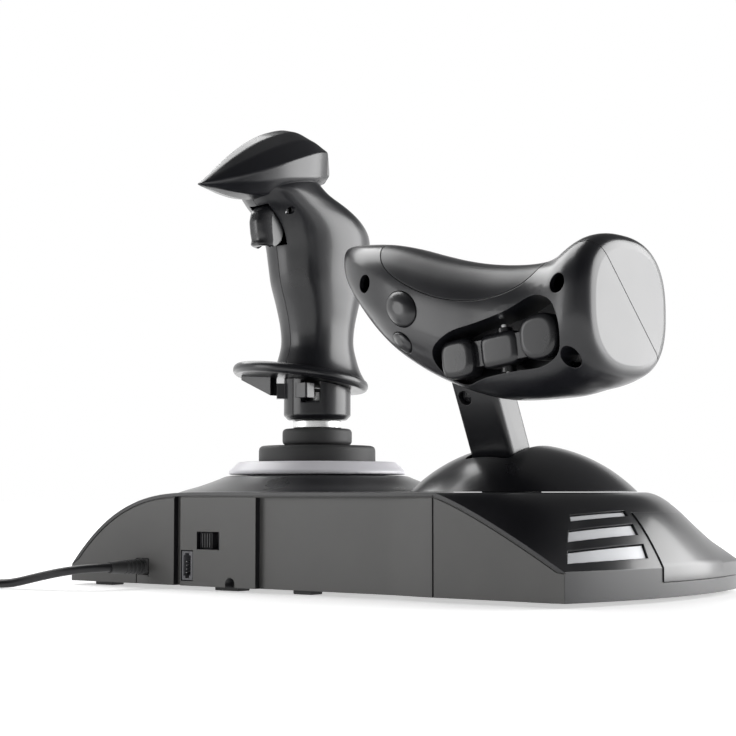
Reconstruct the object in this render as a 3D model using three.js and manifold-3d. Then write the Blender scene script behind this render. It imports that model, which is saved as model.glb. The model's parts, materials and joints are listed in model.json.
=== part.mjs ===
// A desk-standing flight controller: a flight stick on the right and a throttle on the left of one base.
// Millimetres, +Z up, +X to the pilot's right, +Y away from the pilot. The origin is on the desk, under the
// middle of the controller's bounding box.
import * as THREE from "three";
import { mergeVertices } from "three/addons/utils/BufferGeometryUtils.js";
import Module from "manifold-3d";

const wasm = await Module();
wasm.setup();

// ---------------------------------------------------------------- driving dimensions
const CLEAR = 0.3; // gap between two touching pieces
const WALL = 2.4; // thickness of a moulded wall

const FOOT_HEIGHT = 2; // rubber feet under the casing
const DECK = 46.4; // height of the flat deck
const REAR = 100; // y of the rear wall
const LEFT_CORNER = -146; // x of the rear left corner
const RIGHT_CORNER = 149; // x of the rear right corner
const LEFT_BULGE = 11.6; // how far the left side bows out
const RIGHT_BULGE = 8.5; // how far the right side bows out
const LEFT_FRONT = -50; // y of the front edge at the left end
const RIGHT_FRONT = -100; // y of the front edge at the right end

const STICK = { x: 71, y: 0, pivot: 46 }; // gimbal centre
const THROTTLE = { x: -76, y: 25, pivot: 26.5, lean: 25 }; // axle height, and forward lean at rest in degrees

// Each wing falls from the deck to the casing's side, by drop times the share of the way out to this power.
const LEFT_WING = { deckEdge: -80.4, bow: -47.6, drop: 31.7, power: 1.2, midPower: 2 };
const RIGHT_WING = { deckEdge: 59, bow: 60, drop: 36.3, power: 2.8, midPower: 2.8 };

// ---------------------------------------------------------------- colours
const MATERIALS = {
  casing: { color: 0x17181b, roughness: 0.35, metalness: 0 },
  wall: { color: 0x4a4a4c, roughness: 0.55, metalness: 0 },
  grip: { color: 0x141519, roughness: 0.3, metalness: 0 },
  soft_inlay: { color: 0x101114, roughness: 0.5, metalness: 0 },
  button: { color: 0x1d1e21, roughness: 0.3, metalness: 0 },
  silver: { color: 0xc9cacc, roughness: 0.35, metalness: 0.3 },
  bezel: { color: 0xe4e2e6, roughness: 0.4, metalness: 0 },
  steel: { color: 0xd8dad9, roughness: 0.2, metalness: 1 },
  rubber: { color: 0x16171a, roughness: 0.8, metalness: 0 },
  inner: { color: 0x5a5c60, roughness: 0.6, metalness: 0 },
  board: { color: 0x16502c, roughness: 0.5, metalness: 0 },
  cable: { color: 0x0e0f11, roughness: 0.55, metalness: 0 },
};
const materials = Object.fromEntries(
  Object.entries(MATERIALS).map(([name, look]) => [name, new THREE.MeshStandardMaterial(look)]),
);

// ---------------------------------------------------------------- solids
function toSolid(geometry) {
  const bare = geometry.index ? geometry.toNonIndexed() : geometry.clone();
  for (const name of Object.keys(bare.attributes)) {
    if (name !== "position") bare.deleteAttribute(name);
  }
  const merged = mergeVertices(bare, 1e-3);
  return new wasm.Manifold(
    new wasm.Mesh({
      numProp: 3,
      vertProperties: new Float32Array(merged.attributes.position.array),
      triVerts: new Uint32Array(merged.index.array),
    }),
  );
}

function toGeometry(solid) {
  const mesh = solid.getMesh();
  const geometry = new THREE.BufferGeometry();
  geometry.setAttribute("position", new THREE.BufferAttribute(new Float32Array(mesh.vertProperties), 3));
  geometry.setIndex(new THREE.BufferAttribute(new Uint32Array(mesh.triVerts), 1));
  return geometry;
}

const cut = (body, ...tools) =>
  toGeometry(tools.reduce((left, tool) => left.subtract(toSolid(tool)), toSolid(body)));
const join = (body, ...more) =>
  toGeometry(more.reduce((whole, piece) => whole.add(toSolid(piece)), toSolid(body)));
const common = (body, tool) => toGeometry(toSolid(body).intersect(toSolid(tool)));

// A geometry moved to a place, after turning it by degrees about x, y and z.
function placed(geometry, [x, y, z], [ax, ay, az] = [0, 0, 0]) {
  const turn = new THREE.Euler(...[ax, ay, az].map(THREE.MathUtils.degToRad), "XYZ");
  const matrix = new THREE.Matrix4().makeRotationFromEuler(turn).setPosition(x, y, z);
  return geometry.clone().applyMatrix4(matrix);
}

const box = (sx, sy, sz) => new THREE.BoxGeometry(sx, sy, sz);
const rod = (radius, length, sides = 20) =>
  new THREE.CylinderGeometry(radius, radius, length, sides).rotateX(Math.PI / 2);
const rodX = (radius, length, sides = 16) => rod(radius, length, sides).rotateY(Math.PI / 2);
const rodY = (radius, length, sides = 16) => rod(radius, length, sides).rotateX(Math.PI / 2);

// A solid of revolution about z from [radius, z] points that start and end on the axis.
function turned(profile, sides = 32) {
  const points = profile.map(([r, z]) => new THREE.Vector2(r, z));
  return facingOut(new THREE.LatheGeometry(points, sides).rotateX(Math.PI / 2));
}

// A plate of the outline [x, y] points, from z = 0 up to its thickness.
function plate(outline, thickness) {
  const shape = new THREE.Shape(outline.map(([x, y]) => new THREE.Vector2(x, y)));
  return new THREE.ExtrudeGeometry(shape, { depth: thickness, bevelEnabled: false, curveSegments: 8 });
}

// A closed solid through rings of points, capped at both ends. The rings have as many points, in the same order.
function loft(rings) {
  const sides = rings[0].length;
  const last = (rings.length - 1) * sides;
  const positions = rings.flat().flatMap((point) => point.toArray());
  const index = [];
  for (let ring = 0; ring + 1 < rings.length; ring += 1) {
    for (let side = 0; side < sides; side += 1) {
      const a = ring * sides + side;
      const b = ring * sides + ((side + 1) % sides);
      index.push(a, b, b + sides, a, b + sides, a + sides);
    }
  }
  const normal = ringNormal(rings[0]);
  for (const [ring, first, back] of [
    [rings[0], 0, true],
    [rings[rings.length - 1], last, false],
  ]) {
    for (const [a, b, c] of capOf(ring, normal)) {
      index.push(...(back ? [first + a, first + c, first + b] : [first + a, first + b, first + c]));
    }
  }
  const geometry = new THREE.BufferGeometry();
  geometry.setAttribute("position", new THREE.BufferAttribute(new Float32Array(positions), 3));
  geometry.setIndex(index);
  return facingOut(geometry);
}

// Points round a ring, each worked out from its angle.
function ringOf(sides, pointAt) {
  return Array.from({ length: sides }, (_, k) => pointAt((2 * Math.PI * k) / sides));
}

// Newell's normal of a ring of points.
function ringNormal(ring) {
  const normal = new THREE.Vector3();
  ring.forEach((a, i) => {
    const b = ring[(i + 1) % ring.length];
    normal.x += (a.y - b.y) * (a.z + b.z);
    normal.y += (a.z - b.z) * (a.x + b.x);
    normal.z += (a.x - b.x) * (a.y + b.y);
  });
  return normal.normalize();
}

// Triangles of a ring, seen along the given normal.
function capOf(ring, normal) {
  const across = Math.abs(normal.z) > 0.6 ? new THREE.Vector3(1, 0, 0) : new THREE.Vector3(0, 0, 1);
  const u = across.clone().cross(normal).normalize();
  const v = normal.clone().cross(u);
  const flat = ring.map((point) => new THREE.Vector2(point.dot(u), point.dot(v)));
  return THREE.ShapeUtils.triangulateShape(flat, []);
}

// The same surface with its faces pointing out.
function facingOut(geometry) {
  const p = geometry.attributes.position;
  const index = geometry.index.array;
  const [a, b, c] = [new THREE.Vector3(), new THREE.Vector3(), new THREE.Vector3()];
  let volume = 0;
  for (let i = 0; i < index.length; i += 3) {
    a.fromBufferAttribute(p, index[i]);
    b.fromBufferAttribute(p, index[i + 1]);
    c.fromBufferAttribute(p, index[i + 2]);
    volume += a.dot(b.cross(c));
  }
  if (volume < 0) {
    for (let i = 0; i < index.length; i += 3) {
      [index[i + 1], index[i + 2]] = [index[i + 2], index[i + 1]];
    }
  }
  return geometry;
}

const smooth = (t) => t * t * (3 - 2 * t);
const clamp01 = (t) => Math.min(1, Math.max(0, t));
const mix = (a, b, t) => a + (b - a) * t;
const radians = THREE.MathUtils.degToRad;

// ---------------------------------------------------------------- the scene graph
const root = new THREE.Group();
const CENTRE = { x: -0.05, y: -5.75 }; // middle of the bounding box in the layout's own coordinates
root.position.set(-CENTRE.x, -CENTRE.y, 0);

function add(name, slot, geometry, parent = root) {
  const mesh = new THREE.Mesh(geometry, materials[slot]);
  mesh.name = name;
  parent.add(mesh);
  return mesh;
}

// ---------------------------------------------------------------- base plan
// Stations run from the rear wall (0) to the front corners (1) and round the nose edge (NOSE).
const NOSE = 1.08;
const STATIONS = [0, 0.06, 0.14, 0.25, 0.375, 0.5, 0.625, 0.75, 0.875, 1, 1.045, NOSE];
const bow = (t) => Math.max(0, 4 * t * (1 - t));
const tuck = (t) => 16 * clamp01((t - 1) / (NOSE - 1)) ** 2;
const fall = (t) => 1 - 0.5 * clamp01((t - 1) / (NOSE - 1)) ** 2;

const SIDES = {
  left: {
    side: (t) => LEFT_CORNER - LEFT_BULGE * bow(t) + tuck(t),
    edge: (t) => LEFT_WING.deckEdge + LEFT_WING.bow * bow(t),
    ...LEFT_WING,
  },
  right: {
    side: (t) => RIGHT_CORNER + RIGHT_BULGE * bow(t) - tuck(t),
    edge: (t) => RIGHT_WING.deckEdge + RIGHT_WING.bow * bow(t),
    ...RIGHT_WING,
  },
};

// y of station t at x: the front edge slants from the left corner to the right one.
function yAt(x, t) {
  const across = clamp01((x - LEFT_CORNER) / (RIGHT_CORNER - LEFT_CORNER));
  return REAR - t * (REAR - mix(LEFT_FRONT, RIGHT_FRONT, across));
}

// A point of a wing's section at station t: share 0 is the deck's edge, 1 is the side's top edge, and beyond
// 1 it runs down the side, 100 mm for each unit.
function wingPoint(side, share, t) {
  const wing = SIDES[side];
  const power = mix(wing.power, wing.midPower, bow(t));
  const x = mix(wing.edge(t), wing.side(t), Math.min(1, share));
  const drop = wing.drop * clamp01(share) ** power + 100 * Math.max(0, share - 1);
  return new THREE.Vector2(x, FOOT_HEIGHT + (DECK - FOOT_HEIGHT - drop) * fall(t));
}

// The same point moved into the casing by depth, square to the surface.
function wingSkin(side, share, t, depth) {
  const step = 0.01;
  const before = wingPoint(side, share - step, t);
  const after = wingPoint(side, share + step, t);
  const run = after.sub(before).normalize();
  const inward = side === "left" ? new THREE.Vector2(-run.y, run.x) : new THREE.Vector2(run.y, -run.x);
  return wingPoint(side, share, t).addScaledVector(inward, depth);
}

// Closed block through the base's stations. Inset moves its sides and top in, and its ends by endInset.
function casingBlock(inset, [rearInset, frontInset], foot) {
  const shares = [0, 0.15, 0.3, 0.45, 0.6, 0.75, 0.88, 1];
  const rings = STATIONS.map((t) => {
    const left = shares.map((share) => wingSkin("left", share, t, inset));
    const right = shares.map((share) => wingSkin("right", share, t, inset));
    left[0].y = mix(FOOT_HEIGHT, DECK, fall(t)) - inset;
    right[0].y = left[0].y;
    const leftFoot = new THREE.Vector2(SIDES.left.side(t) + inset, foot);
    const rightFoot = new THREE.Vector2(SIDES.right.side(t) - inset, foot);
    return [leftFoot, ...left.reverse(), ...right, rightFoot].map(({ x, y: z }) => {
      const y = yAt(x, t);
      return new THREE.Vector3(x, Math.min(REAR - rearInset, Math.max(yAt(x, NOSE) + frontInset, y)), z);
    });
  });
  return loft(rings);
}

// A patch that follows a wing, from depth below to above its surface. Its ends are given for each share.
function wingPatch(side, shares, [rearAt, frontAt], [below, above], steps = 8) {
  const tOf = (share, y) => {
    const { x } = wingPoint(side, share, 0.5);
    return (REAR - y) / (REAR - yAt(x, 1));
  };
  const rings = [];
  for (let k = 0; k <= steps; k += 1) {
    const line = (depth) =>
      shares.map((share) => {
        const y = mix(rearAt(share), frontAt(share), k / steps);
        const { x, y: z } = wingSkin(side, share, tOf(share, y), depth);
        return new THREE.Vector3(x, y, z);
      });
    rings.push([...line(-above), ...line(below).reverse()]);
  }
  return loft(rings);
}

// ---------------------------------------------------------------- base casing
const REAR_WALL = 5.6; // the rear wall is deep enough for the recessed panel
const RECESS = { from: -53.4, to: 22, blend: 27, depth: 3, top: 44 };
const GROOVE = { x: 73.3, width: 4.4, depth: 3 };
const SWITCH = { x: 52.6, z: 23.6, width: 14.8, height: 8.4 };
const JACK = { x: 66.6, z: 11.6, width: 7.4, height: 14, opening: 9.6 };
const NOTCH = { x: 38.2, z: 3.6, radius: 3 };
const CABLE = { x: 97.2, z: 10.5, radius: 2.1, slot: 9, halfExit: 3.8 };
const BEZEL = { inner: 36.9, outer: 46.4, foot: 55.4, top: 62.3 };
const DOME = { radius: 52, rise: 22, hole: 44, slot: [24.4, 61], slotY: -0.5 };

// The rise of the deck up to the bezel, as [radius, z] from the axis out, and the hollow under it.
const HILL = [[88, 30], [85, 36], [80, 42.2], [73, DECK], [60, 50], [50.8, 53.5], [47, 55.2]];
const HILL_HOLLOW = [[80, 20], [82, 34], [77, 40.4], [71, DECK - 2.6], [59, 47.4], [46, 52.4]];

// A hill's profile turned round the stick, kept inside a plan outline.
function hillSolid(profile, outline, sides) {
  const hill = turned([[0, profile[0][1]], ...profile, [0, profile.at(-1)[1]]], sides);
  return common(placed(hill, [STICK.x, STICK.y, 0]), plate(outline, 70));
}

function upperCasing() {
  const outline = casingBlock(0, [0, 0], FOOT_HEIGHT);
  const hill = hillSolid(HILL, planOutline(0), 40);
  const inside = casingBlock(WALL, [REAR_WALL, WALL], FOOT_HEIGHT - 3);
  const underHill = hillSolid(HILL_HOLLOW, planOutline(WALL), 32);
  return cut(join(outline, hill), inside, underHill, ...rearWallCuts(), ...topCuts(), ...wingCuts());
}

// Outline of the base's plan, inset from its sides and its front, clear of the rear wall when inset.
function planOutline(inset) {
  const left = STATIONS.map((t) => SIDES.left.side(t) + inset).map((x, i) => [x, yAt(x, STATIONS[i])]);
  const right = STATIONS.map((t) => SIDES.right.side(t) - inset).map((x, i) => [x, yAt(x, STATIONS[i])]);
  const rear = inset > 0 ? REAR - REAR_WALL - (inset > WALL ? inset - WALL : 0) : REAR;
  const trimmed = (points) => points.map(([x, y]) => [x, Math.min(rear, y + (y < -40 ? inset : 0))]);
  return [...trimmed(left), ...trimmed(right).reverse()];
}

function rearWallCuts() {
  const { from, to, blend, depth, top } = RECESS;
  const steps = 8;
  const outline = [[to, REAR + 1], [to, REAR - depth]];
  for (let k = 0; k <= steps; k += 1) {
    outline.push([from - (blend * k) / steps, REAR - depth * (1 - smooth(k / steps))]);
  }
  outline.push([from - blend, REAR + 1]);
  const recess = placed(plate(outline, top + 5), [0, 0, -5]);
  const groove = placed(box(GROOVE.width, 2 * GROOVE.depth, 45), [GROOVE.x, REAR, FOOT_HEIGHT + 20]);
  const line = placed(box(0.8, 1.6, 80), [RECESS.from - blend, REAR, 5]);
  const knobHole = placed(box(SWITCH.width, 20, SWITCH.height), [SWITCH.x, REAR, SWITCH.z]);
  const switchPocket = placed(box(21, REAR_WALL, 14), [SWITCH.x, REAR - WALL - REAR_WALL / 2, SWITCH.z]);
  const jackHole = placed(box(JACK.width + 2 * CLEAR, 20, JACK.height + 2 * CLEAR), [JACK.x, REAR, JACK.z]);
  const notch = placed(rodY(NOTCH.radius, 20, 20), [NOTCH.x, REAR, NOTCH.z]);
  const notchFoot = placed(box(2 * NOTCH.radius, 20, 5), [NOTCH.x, REAR, NOTCH.z - 2.5]);
  const exit = placed(box(CABLE.slot, 20, 20), [CABLE.x, REAR, CABLE.z + CABLE.halfExit - 10]);
  return [recess, groove, line, knobHole, switchPocket, jackHole, notch, notchFoot, exit];
}

function topCuts() {
  const stick = placed(rod(BEZEL.inner + 2, 40, 40), [STICK.x, STICK.y, 50]);
  const throttle = placed(rod(DOME.hole, 20, 40), [THROTTLE.x, THROTTLE.y, DECK]);
  return [stick, throttle];
}

const RIM = 4.2; // height of the lower casing's rim
const SCREWS = [[-135, 60], [-100, -35], [10, 80], [10, -55], [135, -70], [128, 80]];

// Floor of the casing, with a rim that meets the skirt of the upper casing and a tongue under the cable.
function lowerCasing() {
  const gap = WALL + CLEAR;
  const floor = placed(plate(planOutline(gap), WALL), [0, 0, FOOT_HEIGHT]);
  const rim = placed(plate(planOutline(gap), RIM), [0, 0, FOOT_HEIGHT]);
  const well = placed(plate(planOutline(gap + WALL), 9), [0, 0, FOOT_HEIGHT + WALL]);
  const tongueTop = CABLE.z - CABLE.halfExit - CLEAR;
  const depth = REAR_WALL + 1;
  const tongue = placed(box(CABLE.slot - 2 * CLEAR, depth, tongueTop - FOOT_HEIGHT), [
    CABLE.x,
    REAR - depth / 2 - 0.2,
    (FOOT_HEIGHT + tongueTop) / 2,
  ]);
  const cableGap = placed(box(CABLE.slot + 6, 12, 20), [CABLE.x, REAR - REAR_WALL - gap - 2, tongueTop + 10]);
  const jackGap = placed(box(JACK.width + 8, 14, 30), [JACK.x, REAR - REAR_WALL - 4, JACK.z - 7 + 15 - 2]);
  const tray = cut(join(floor, cut(rim, well)), cableGap, jackGap);
  const bosses = SCREWS.map(([x, y]) => placed(rod(4, 22, 14), [x, y, FOOT_HEIGHT + 11]));
  const holes = SCREWS.map(([x, y]) => placed(rod(1.6, 40, 8), [x, y, FOOT_HEIGHT + 12]));
  const heads = SCREWS.map(([x, y]) => placed(rod(3, 3, 12), [x, y, FOOT_HEIGHT]));
  return cut(join(tray, tongue, ...bosses), ...holes, ...heads, ...footPockets());
}

// Rubber feet: [x, y, width, depth].
const FEET = {
  foot_rear_right: [132, 89.5, 12.4, 8],
  foot_rear_middle: [46.5, 89.5, 15.4, 8],
  foot_rear_centre: [-1, 89.5, 11, 8],
  foot_rear_left: [-118, 70, 14, 10],
  foot_front_left: [-112, -30, 14, 10],
  foot_front_right: [118, -76, 14, 10],
};

function footPockets() {
  const pocket = (w, d) => box(w + 2 * CLEAR, d + 2 * CLEAR, 2);
  return Object.values(FEET).map(([x, y, w, d]) => placed(pocket(w, d), [x, y, FOOT_HEIGHT]));
}

add("lower_casing", "wall", lowerCasing());
for (const [name, [x, y, w, d]] of Object.entries(FEET)) {
  add(name, "rubber", placed(box(w, d, FOOT_HEIGHT + 0.7), [x, y, (FOOT_HEIGHT + 0.7) / 2]));
}

// ---------------------------------------------------------------- base trim
const PLATE = { from: 0.52, rearY: 41, frontY: -42, foot: 8.4 };
const SLOPE_LENGTH = 60; // distance down a wing from share 0 to share 1
const STRIPES = [
  { top: 0.485, foot: 0.555, rear: [71.3, 73.9], front: [43.6, 44.2] },
  { top: 0.64, foot: 0.745, rear: [78.3, 83.6], front: [45, 46] },
  { top: 0.82, foot: 0.93, rear: [87.4, 93.8], front: [46, 47.9] },
];

// Shares from the plate's top edge down the side to its foot.
function plateShares(side, inset) {
  const wing = SIDES[side];
  const footShare = 1 + (DECK - wing.drop - PLATE.foot - inset) / 100;
  const count = 7;
  const top = PLATE.from + inset / SLOPE_LENGTH;
  const slope = Array.from({ length: count }, (_, i) => mix(top, 1, i / (count - 1)));
  return footShare > 1.01 ? [...slope, footShare] : slope.slice(0, -1);
}

function wingPlate(side, inset, [below, above]) {
  const rear = () => PLATE.rearY - inset;
  const front = () => PLATE.frontY + inset;
  return wingPatch(side, plateShares(side, inset), [rear, front], [below, above], 10);
}

// A bar that narrows down the wing, kept inside its outline by inset.
function stripe(side, { top, foot, rear, front }, inset, [below, above]) {
  const edge = inset / SLOPE_LENGTH;
  const shares = [top + edge, mix(top, foot, 0.5), foot - edge];
  const at = ([a, b], shift) => (share) => mix(a, b, (share - top) / (foot - top)) + shift;
  return wingPatch(side, shares, [at(rear, -inset), at(front, inset)], [below, above], 4);
}

// Three bright bars on one moulded carrier behind the wing's skin.
function stripeSet(side) {
  const bars = STRIPES.map((row) => stripe(side, row, 0.45, [WALL + 1.5, -0.9]));
  const carrier = { top: 0.5, foot: 0.92, rear: [69, 69], front: [58, 58] };
  const strip = stripe(side, carrier, 0, [WALL + 2.4, -(WALL + CLEAR + 0.1)]);
  return join(strip, ...bars);
}

for (const side of ["left", "right"]) {
  add(`${side}_wing_plate`, "casing", wingPlate(side, CLEAR, [1.2, 0.5]));
  add(`${side}_wing_stripes`, "silver", stripeSet(side));
}

function wingCuts() {
  return ["left", "right"].flatMap((side) => [
    wingPlate(side, 0, [1.5, 4]),
    ...STRIPES.map((row) => stripe(side, row, 0, [WALL + 1, 4])),
  ]);
}

// ---------------------------------------------------------------- rear controls
// Modular jack on its side, with the key way of the plug's latch above and below its opening.
const jackBody = cut(
  placed(box(JACK.width, 13, JACK.height), [JACK.x, REAR - 6.7, JACK.z]),
  placed(box(JACK.width - 2.6, 10, JACK.opening), [JACK.x, REAR - 4.2, JACK.z]),
  placed(box(JACK.width - 4.6, 10, JACK.height - 2), [JACK.x, REAR - 4.2, JACK.z]),
);
add("rudder_jack", "inner", jackBody);

const SLIDE = { travel: 4, knob: 6.8, guide: 2.2 };
const switchY = REAR - REAR_WALL;
const switchBody = cut(
  placed(box(20.4, 6, 13.4), [SWITCH.x, switchY - 0.1, SWITCH.z]),
  placed(box(SWITCH.width, 10, SWITCH.height), [SWITCH.x, switchY + 4, SWITCH.z]),
);
add("mode_switch_body", "inner", switchBody);
const knobX = SWITCH.x + SWITCH.width / 2 - SLIDE.knob / 2 - 1.2;
const knobBase = placed(box(SLIDE.knob, 3.6, SWITCH.height - 2 * CLEAR), [knobX, switchY + 1.4, SWITCH.z]);
const ribs = [-2.4, -0.8, 0.8, 2.4].map((dx) =>
  placed(box(0.8, 1, SWITCH.height - 1.6), [knobX + dx, switchY + 3.5, SWITCH.z]),
);
add("mode_switch_knob", "button", join(knobBase, ...ribs));

// ---------------------------------------------------------------- bezel ring round the stick
function bezelRing() {
  const { inner, outer, foot, top } = BEZEL;
  const base = foot + CLEAR;
  const slope = [[outer, base], [outer, foot + 2], [41.6, top - 0.6], [41, top]];
  const ring = turned([[0, base], ...slope, [0, top]], 48);
  const notches = ringOf(8, (angle) => {
    const turn = angle + 0.2;
    const at = [Math.cos(turn) * (inner + 1.6), Math.sin(turn) * (inner + 1.6), top];
    return placed(box(3, 1.6, 1.2), at, [0, 0, THREE.MathUtils.radToDeg(turn)]);
  });
  return placed(cut(ring, rod(inner, 200, 48), ...notches), [STICK.x, STICK.y, 0]);
}
add("bezel_ring", "bezel", bezelRing());

// ---------------------------------------------------------------- throttle dome
function throttleDome() {
  const { radius, rise, slot, slotY } = DOME;
  const sphere = (radius ** 2 + rise ** 2) / (2 * rise);
  const steps = 7;
  const profile = (reach, lift) =>
    Array.from({ length: steps + 1 }, (_, k) => {
      const across = k < steps ? reach * Math.cos((k / steps) * (Math.PI / 2)) : 0;
      return [across, DECK + lift + Math.sqrt(sphere ** 2 - across ** 2) - (sphere - rise)];
    });
  const room = radius - 5;
  const outer = turned([[0, DECK + CLEAR], ...profile(radius, CLEAR)], 44);
  const hollow = turned([[0, DECK - 5], [room, DECK - 5], [room, DECK], ...profile(room, -WALL)], 44);
  const opening = placed(box(slot[0], slot[1], 60), [0, slotY, DECK + 20]);
  return placed(cut(outer, hollow, opening), [THROTTLE.x, THROTTLE.y, 0]);
}
add("throttle_dome", "casing", throttleDome());

add("upper_casing", "casing", upperCasing());

// ---------------------------------------------------------------- throttle arm
// The arm is modelled upright over its axle, then leans forward with everything it carries.
const ARM = { width: 23, depth: 16, top: 92, hub: 9.5 };
const lever = new THREE.Group();
lever.position.set(THROTTLE.x, THROTTLE.y, THROTTLE.pivot);
lever.rotation.x = -radians(THROTTLE.lean);
root.add(lever);

const bracketFoot = FOOT_HEIGHT + WALL + CLEAR;
const CHEEK = { gap: 0.5, thickness: 4, depth: 24 };
const AXLE = { radius: 4, hole: 4.3 };
const cheekX = ARM.width / 2 + CHEEK.gap + CHEEK.thickness / 2;

function throttleBracket() {
  const top = THROTTLE.pivot + 8;
  const cheeks = [-cheekX, cheekX].map((x) =>
    placed(box(CHEEK.thickness, CHEEK.depth, top - bracketFoot), [x, 0, (top + bracketFoot) / 2]),
  );
  const foot = placed(box(2 * cheekX + 24, 34, 3), [0, 0, bracketFoot + 1.5]);
  const bore = placed(rodX(AXLE.hole, 80, 24), [0, 0, THROTTLE.pivot]);
  return placed(cut(join(foot, ...cheeks), bore), [THROTTLE.x, THROTTLE.y, 0]);
}
add("throttle_bracket", "inner", throttleBracket());

const axleLength = 2 * cheekX + CHEEK.thickness + 16;
add("throttle_axle", "steel", rodX(AXLE.radius, axleLength, 20), lever);

function armBody() {
  const bar = placed(box(ARM.width, ARM.depth, ARM.top), [0, 0, ARM.top / 2]);
  const hub = rodX(ARM.hub, ARM.width, 24);
  const screw = placed(rodY(3.4, 8), [5.5, ARM.depth / 2, 72]);
  const bore = rodX(AXLE.hole, 60, 24);
  const relief = placed(box(ARM.width - 8, ARM.depth - 6, 40), [0, -4, 36]);
  return cut(join(bar, hub), screw, bore, relief);
}
add("throttle_arm", "casing", armBody(), lever);

// Felt pad that presses on the hub from below, and the angle sensor on the far cheek.
const pad = placed(box(12, 12, 3), [THROTTLE.x, THROTTLE.y, THROTTLE.pivot - ARM.hub - CLEAR - 1.5]);
add("friction_pad", "rubber", pad);
const sensor = cut(rodX(9, 5, 24), rodX(AXLE.hole, 20, 24));
const sensorX = cheekX + CHEEK.thickness / 2 + CLEAR + 2.5;
add("throttle_sensor", "inner", placed(sensor, [THROTTLE.x + sensorX, THROTTLE.y, THROTTLE.pivot]));

// ---------------------------------------------------------------- throttle handle
// Sections across the handle with the lever at rest: x, y and z of the centre, half depth, half height.
const HANDLE = [
  [-157.8, 66, 123, 27, 24],
  [-156.6, 66.2, 123, 31.5, 28.3],
  [-153, 66.6, 123, 34.4, 30.6],
  [-147, 67, 121.8, 34.6, 31.6],
  [-141, 68, 119.8, 32.4, 31],
  [-134, 69, 116.8, 29.6, 29.8],
  [-126, 69.5, 115.2, 28, 29],
  [-115, 70, 114.7, 27.3, 28.9],
  [-102, 70, 115.3, 27, 29.2],
  [-90, 70, 117.4, 27, 28.8],
  [-77, 70, 121, 26.8, 28],
  [-64, 70, 125.6, 26, 27],
  [-50, 69.5, 131.6, 24.6, 25.2],
  [-38, 68.5, 137.4, 22.4, 22],
  [-26, 67, 143.8, 19, 17],
  [-15, 65, 150, 14.4, 11.6],
  [-8, 63, 154.6, 9, 7],
  [-5.5, 62, 157, 4.5, 3.4],
];
const HANDLE_POWER = 2.5;

// A cosine or sine bent so that a ring's shape lies between an ellipse and a rectangle.
const bent = (v, power) => Math.sign(v) * Math.abs(v) ** (2 / power);

// Points of a section square to x.
function handleRing([x, y, z, depth, height], inset) {
  return ringOf(24, (angle) => {
    const ahead = (depth - inset) * bent(Math.cos(angle), HANDLE_POWER);
    const up = (height - inset) * bent(Math.sin(angle), HANDLE_POWER);
    return new THREE.Vector3(x, y + ahead, z + up);
  });
}

const handleBlock = (rows, inset) => loft(rows.map((row) => handleRing(row, inset)));
const hollowRows = HANDLE.slice(2, -3).map(([x, ...rest], i) => [i === 0 ? x + 1 : x, ...rest]);
const handleOuter = handleBlock(HANDLE, 0);
const handleHollow = handleBlock(hollowRows, WALL + 0.2);
const handleShell = cut(handleOuter, handleHollow);

// The seam between the front and palm shells, along x: a point of it, and its lean from level in degrees.
const SEAM = [
  [-170, 64, 123, 45],
  [-150, 64, 122, 45],
  [-120, 66, 115, 60],
  [-80, 64, 119, 72],
  [5, 56, 155, 80],
];

// Everything in front of that seam, moved forward by shift.
function frontHalf(shift) {
  const rings = SEAM.map(([x, y, z, lean]) => {
    const along = new THREE.Vector3(0, Math.cos(radians(lean)), Math.sin(radians(lean)));
    const ahead = new THREE.Vector3(0, along.z, -along.y);
    const at = (up, out) => new THREE.Vector3(x, y, z).addScaledVector(along, up).addScaledVector(ahead, out);
    return [at(-90, shift), at(90, shift), at(90, 120), at(-90, 120)];
  });
  return loft(rings);
}

// The smile-shaped seam of the soft top, in x and z, from its outer end to its inner end.
const SMILE = [
  [-130, 153], [-127.5, 140], [-122, 133], [-112, 129], [-98, 127.5], [-80, 130], [-62, 137], [-47, 146.5],
  [-38, 158],
];

// Region above that seam, grown outwards.
function topRegion(grow) {
  const outline = SMILE.map(([x, z], i) => {
    const slope = (2 * i) / (SMILE.length - 1) - 1;
    return [x + grow * slope, z - grow * (1 - Math.abs(slope) * 0.4)];
  });
  outline.push([-38 + grow, 175], [-130 - grow, 175]);
  return placed(plate(outline, 120).rotateX(Math.PI / 2), [0, 130, 0]);
}

const ROCKER = { x: -108, y: 83, z: 106.5, turn: 7 };
const BIG_BUTTON = { x: -60, z: 126.4, width: 19, height: 14.5, turn: -32 };
const SMALL_BUTTON = { x: -58, z: 112, width: 12.4, height: 8, turn: -24 };
const FLANGE = { grow: 0.9, from: 81, to: 83 }; // rim that keeps a button behind the shell
const HANDLE_SCREWS = [[-34.5, 140], [-143.5, 131], [-147, 101]];

function oval({ x, z, width, height, turn }, grow, [from, to]) {
  const disc = rod(1, to - from, 24).scale(width / 2 + grow, height / 2 + grow, 1);
  return placed(disc.rotateX(Math.PI / 2), [x, (from + to) / 2, z], [0, turn, 0]);
}

// The wavy recess round the rocker, in x and z from the rocker's middle.
const RECESS_OUTLINE = [
  [33, 0], [31, 6], [20, 11], [5, 12], [-10, 14], [-24, 19], [-35, 14], [-38, 3], [-35, -8], [-24, -12],
  [-8, -11], [8, -11], [20, -12.5], [29, -8],
];
function rockerRecess(grow) {
  const grown = RECESS_OUTLINE.map(([x, z]) => [x * (1 + grow / 30), z * (1 + grow / 12)]);
  const block = placed(plate(grown, 80).rotateX(Math.PI / 2), [0, 40, 0]);
  return placed(block, [ROCKER.x, ROCKER.y, ROCKER.z], [0, ROCKER.turn, 0]);
}

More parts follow.
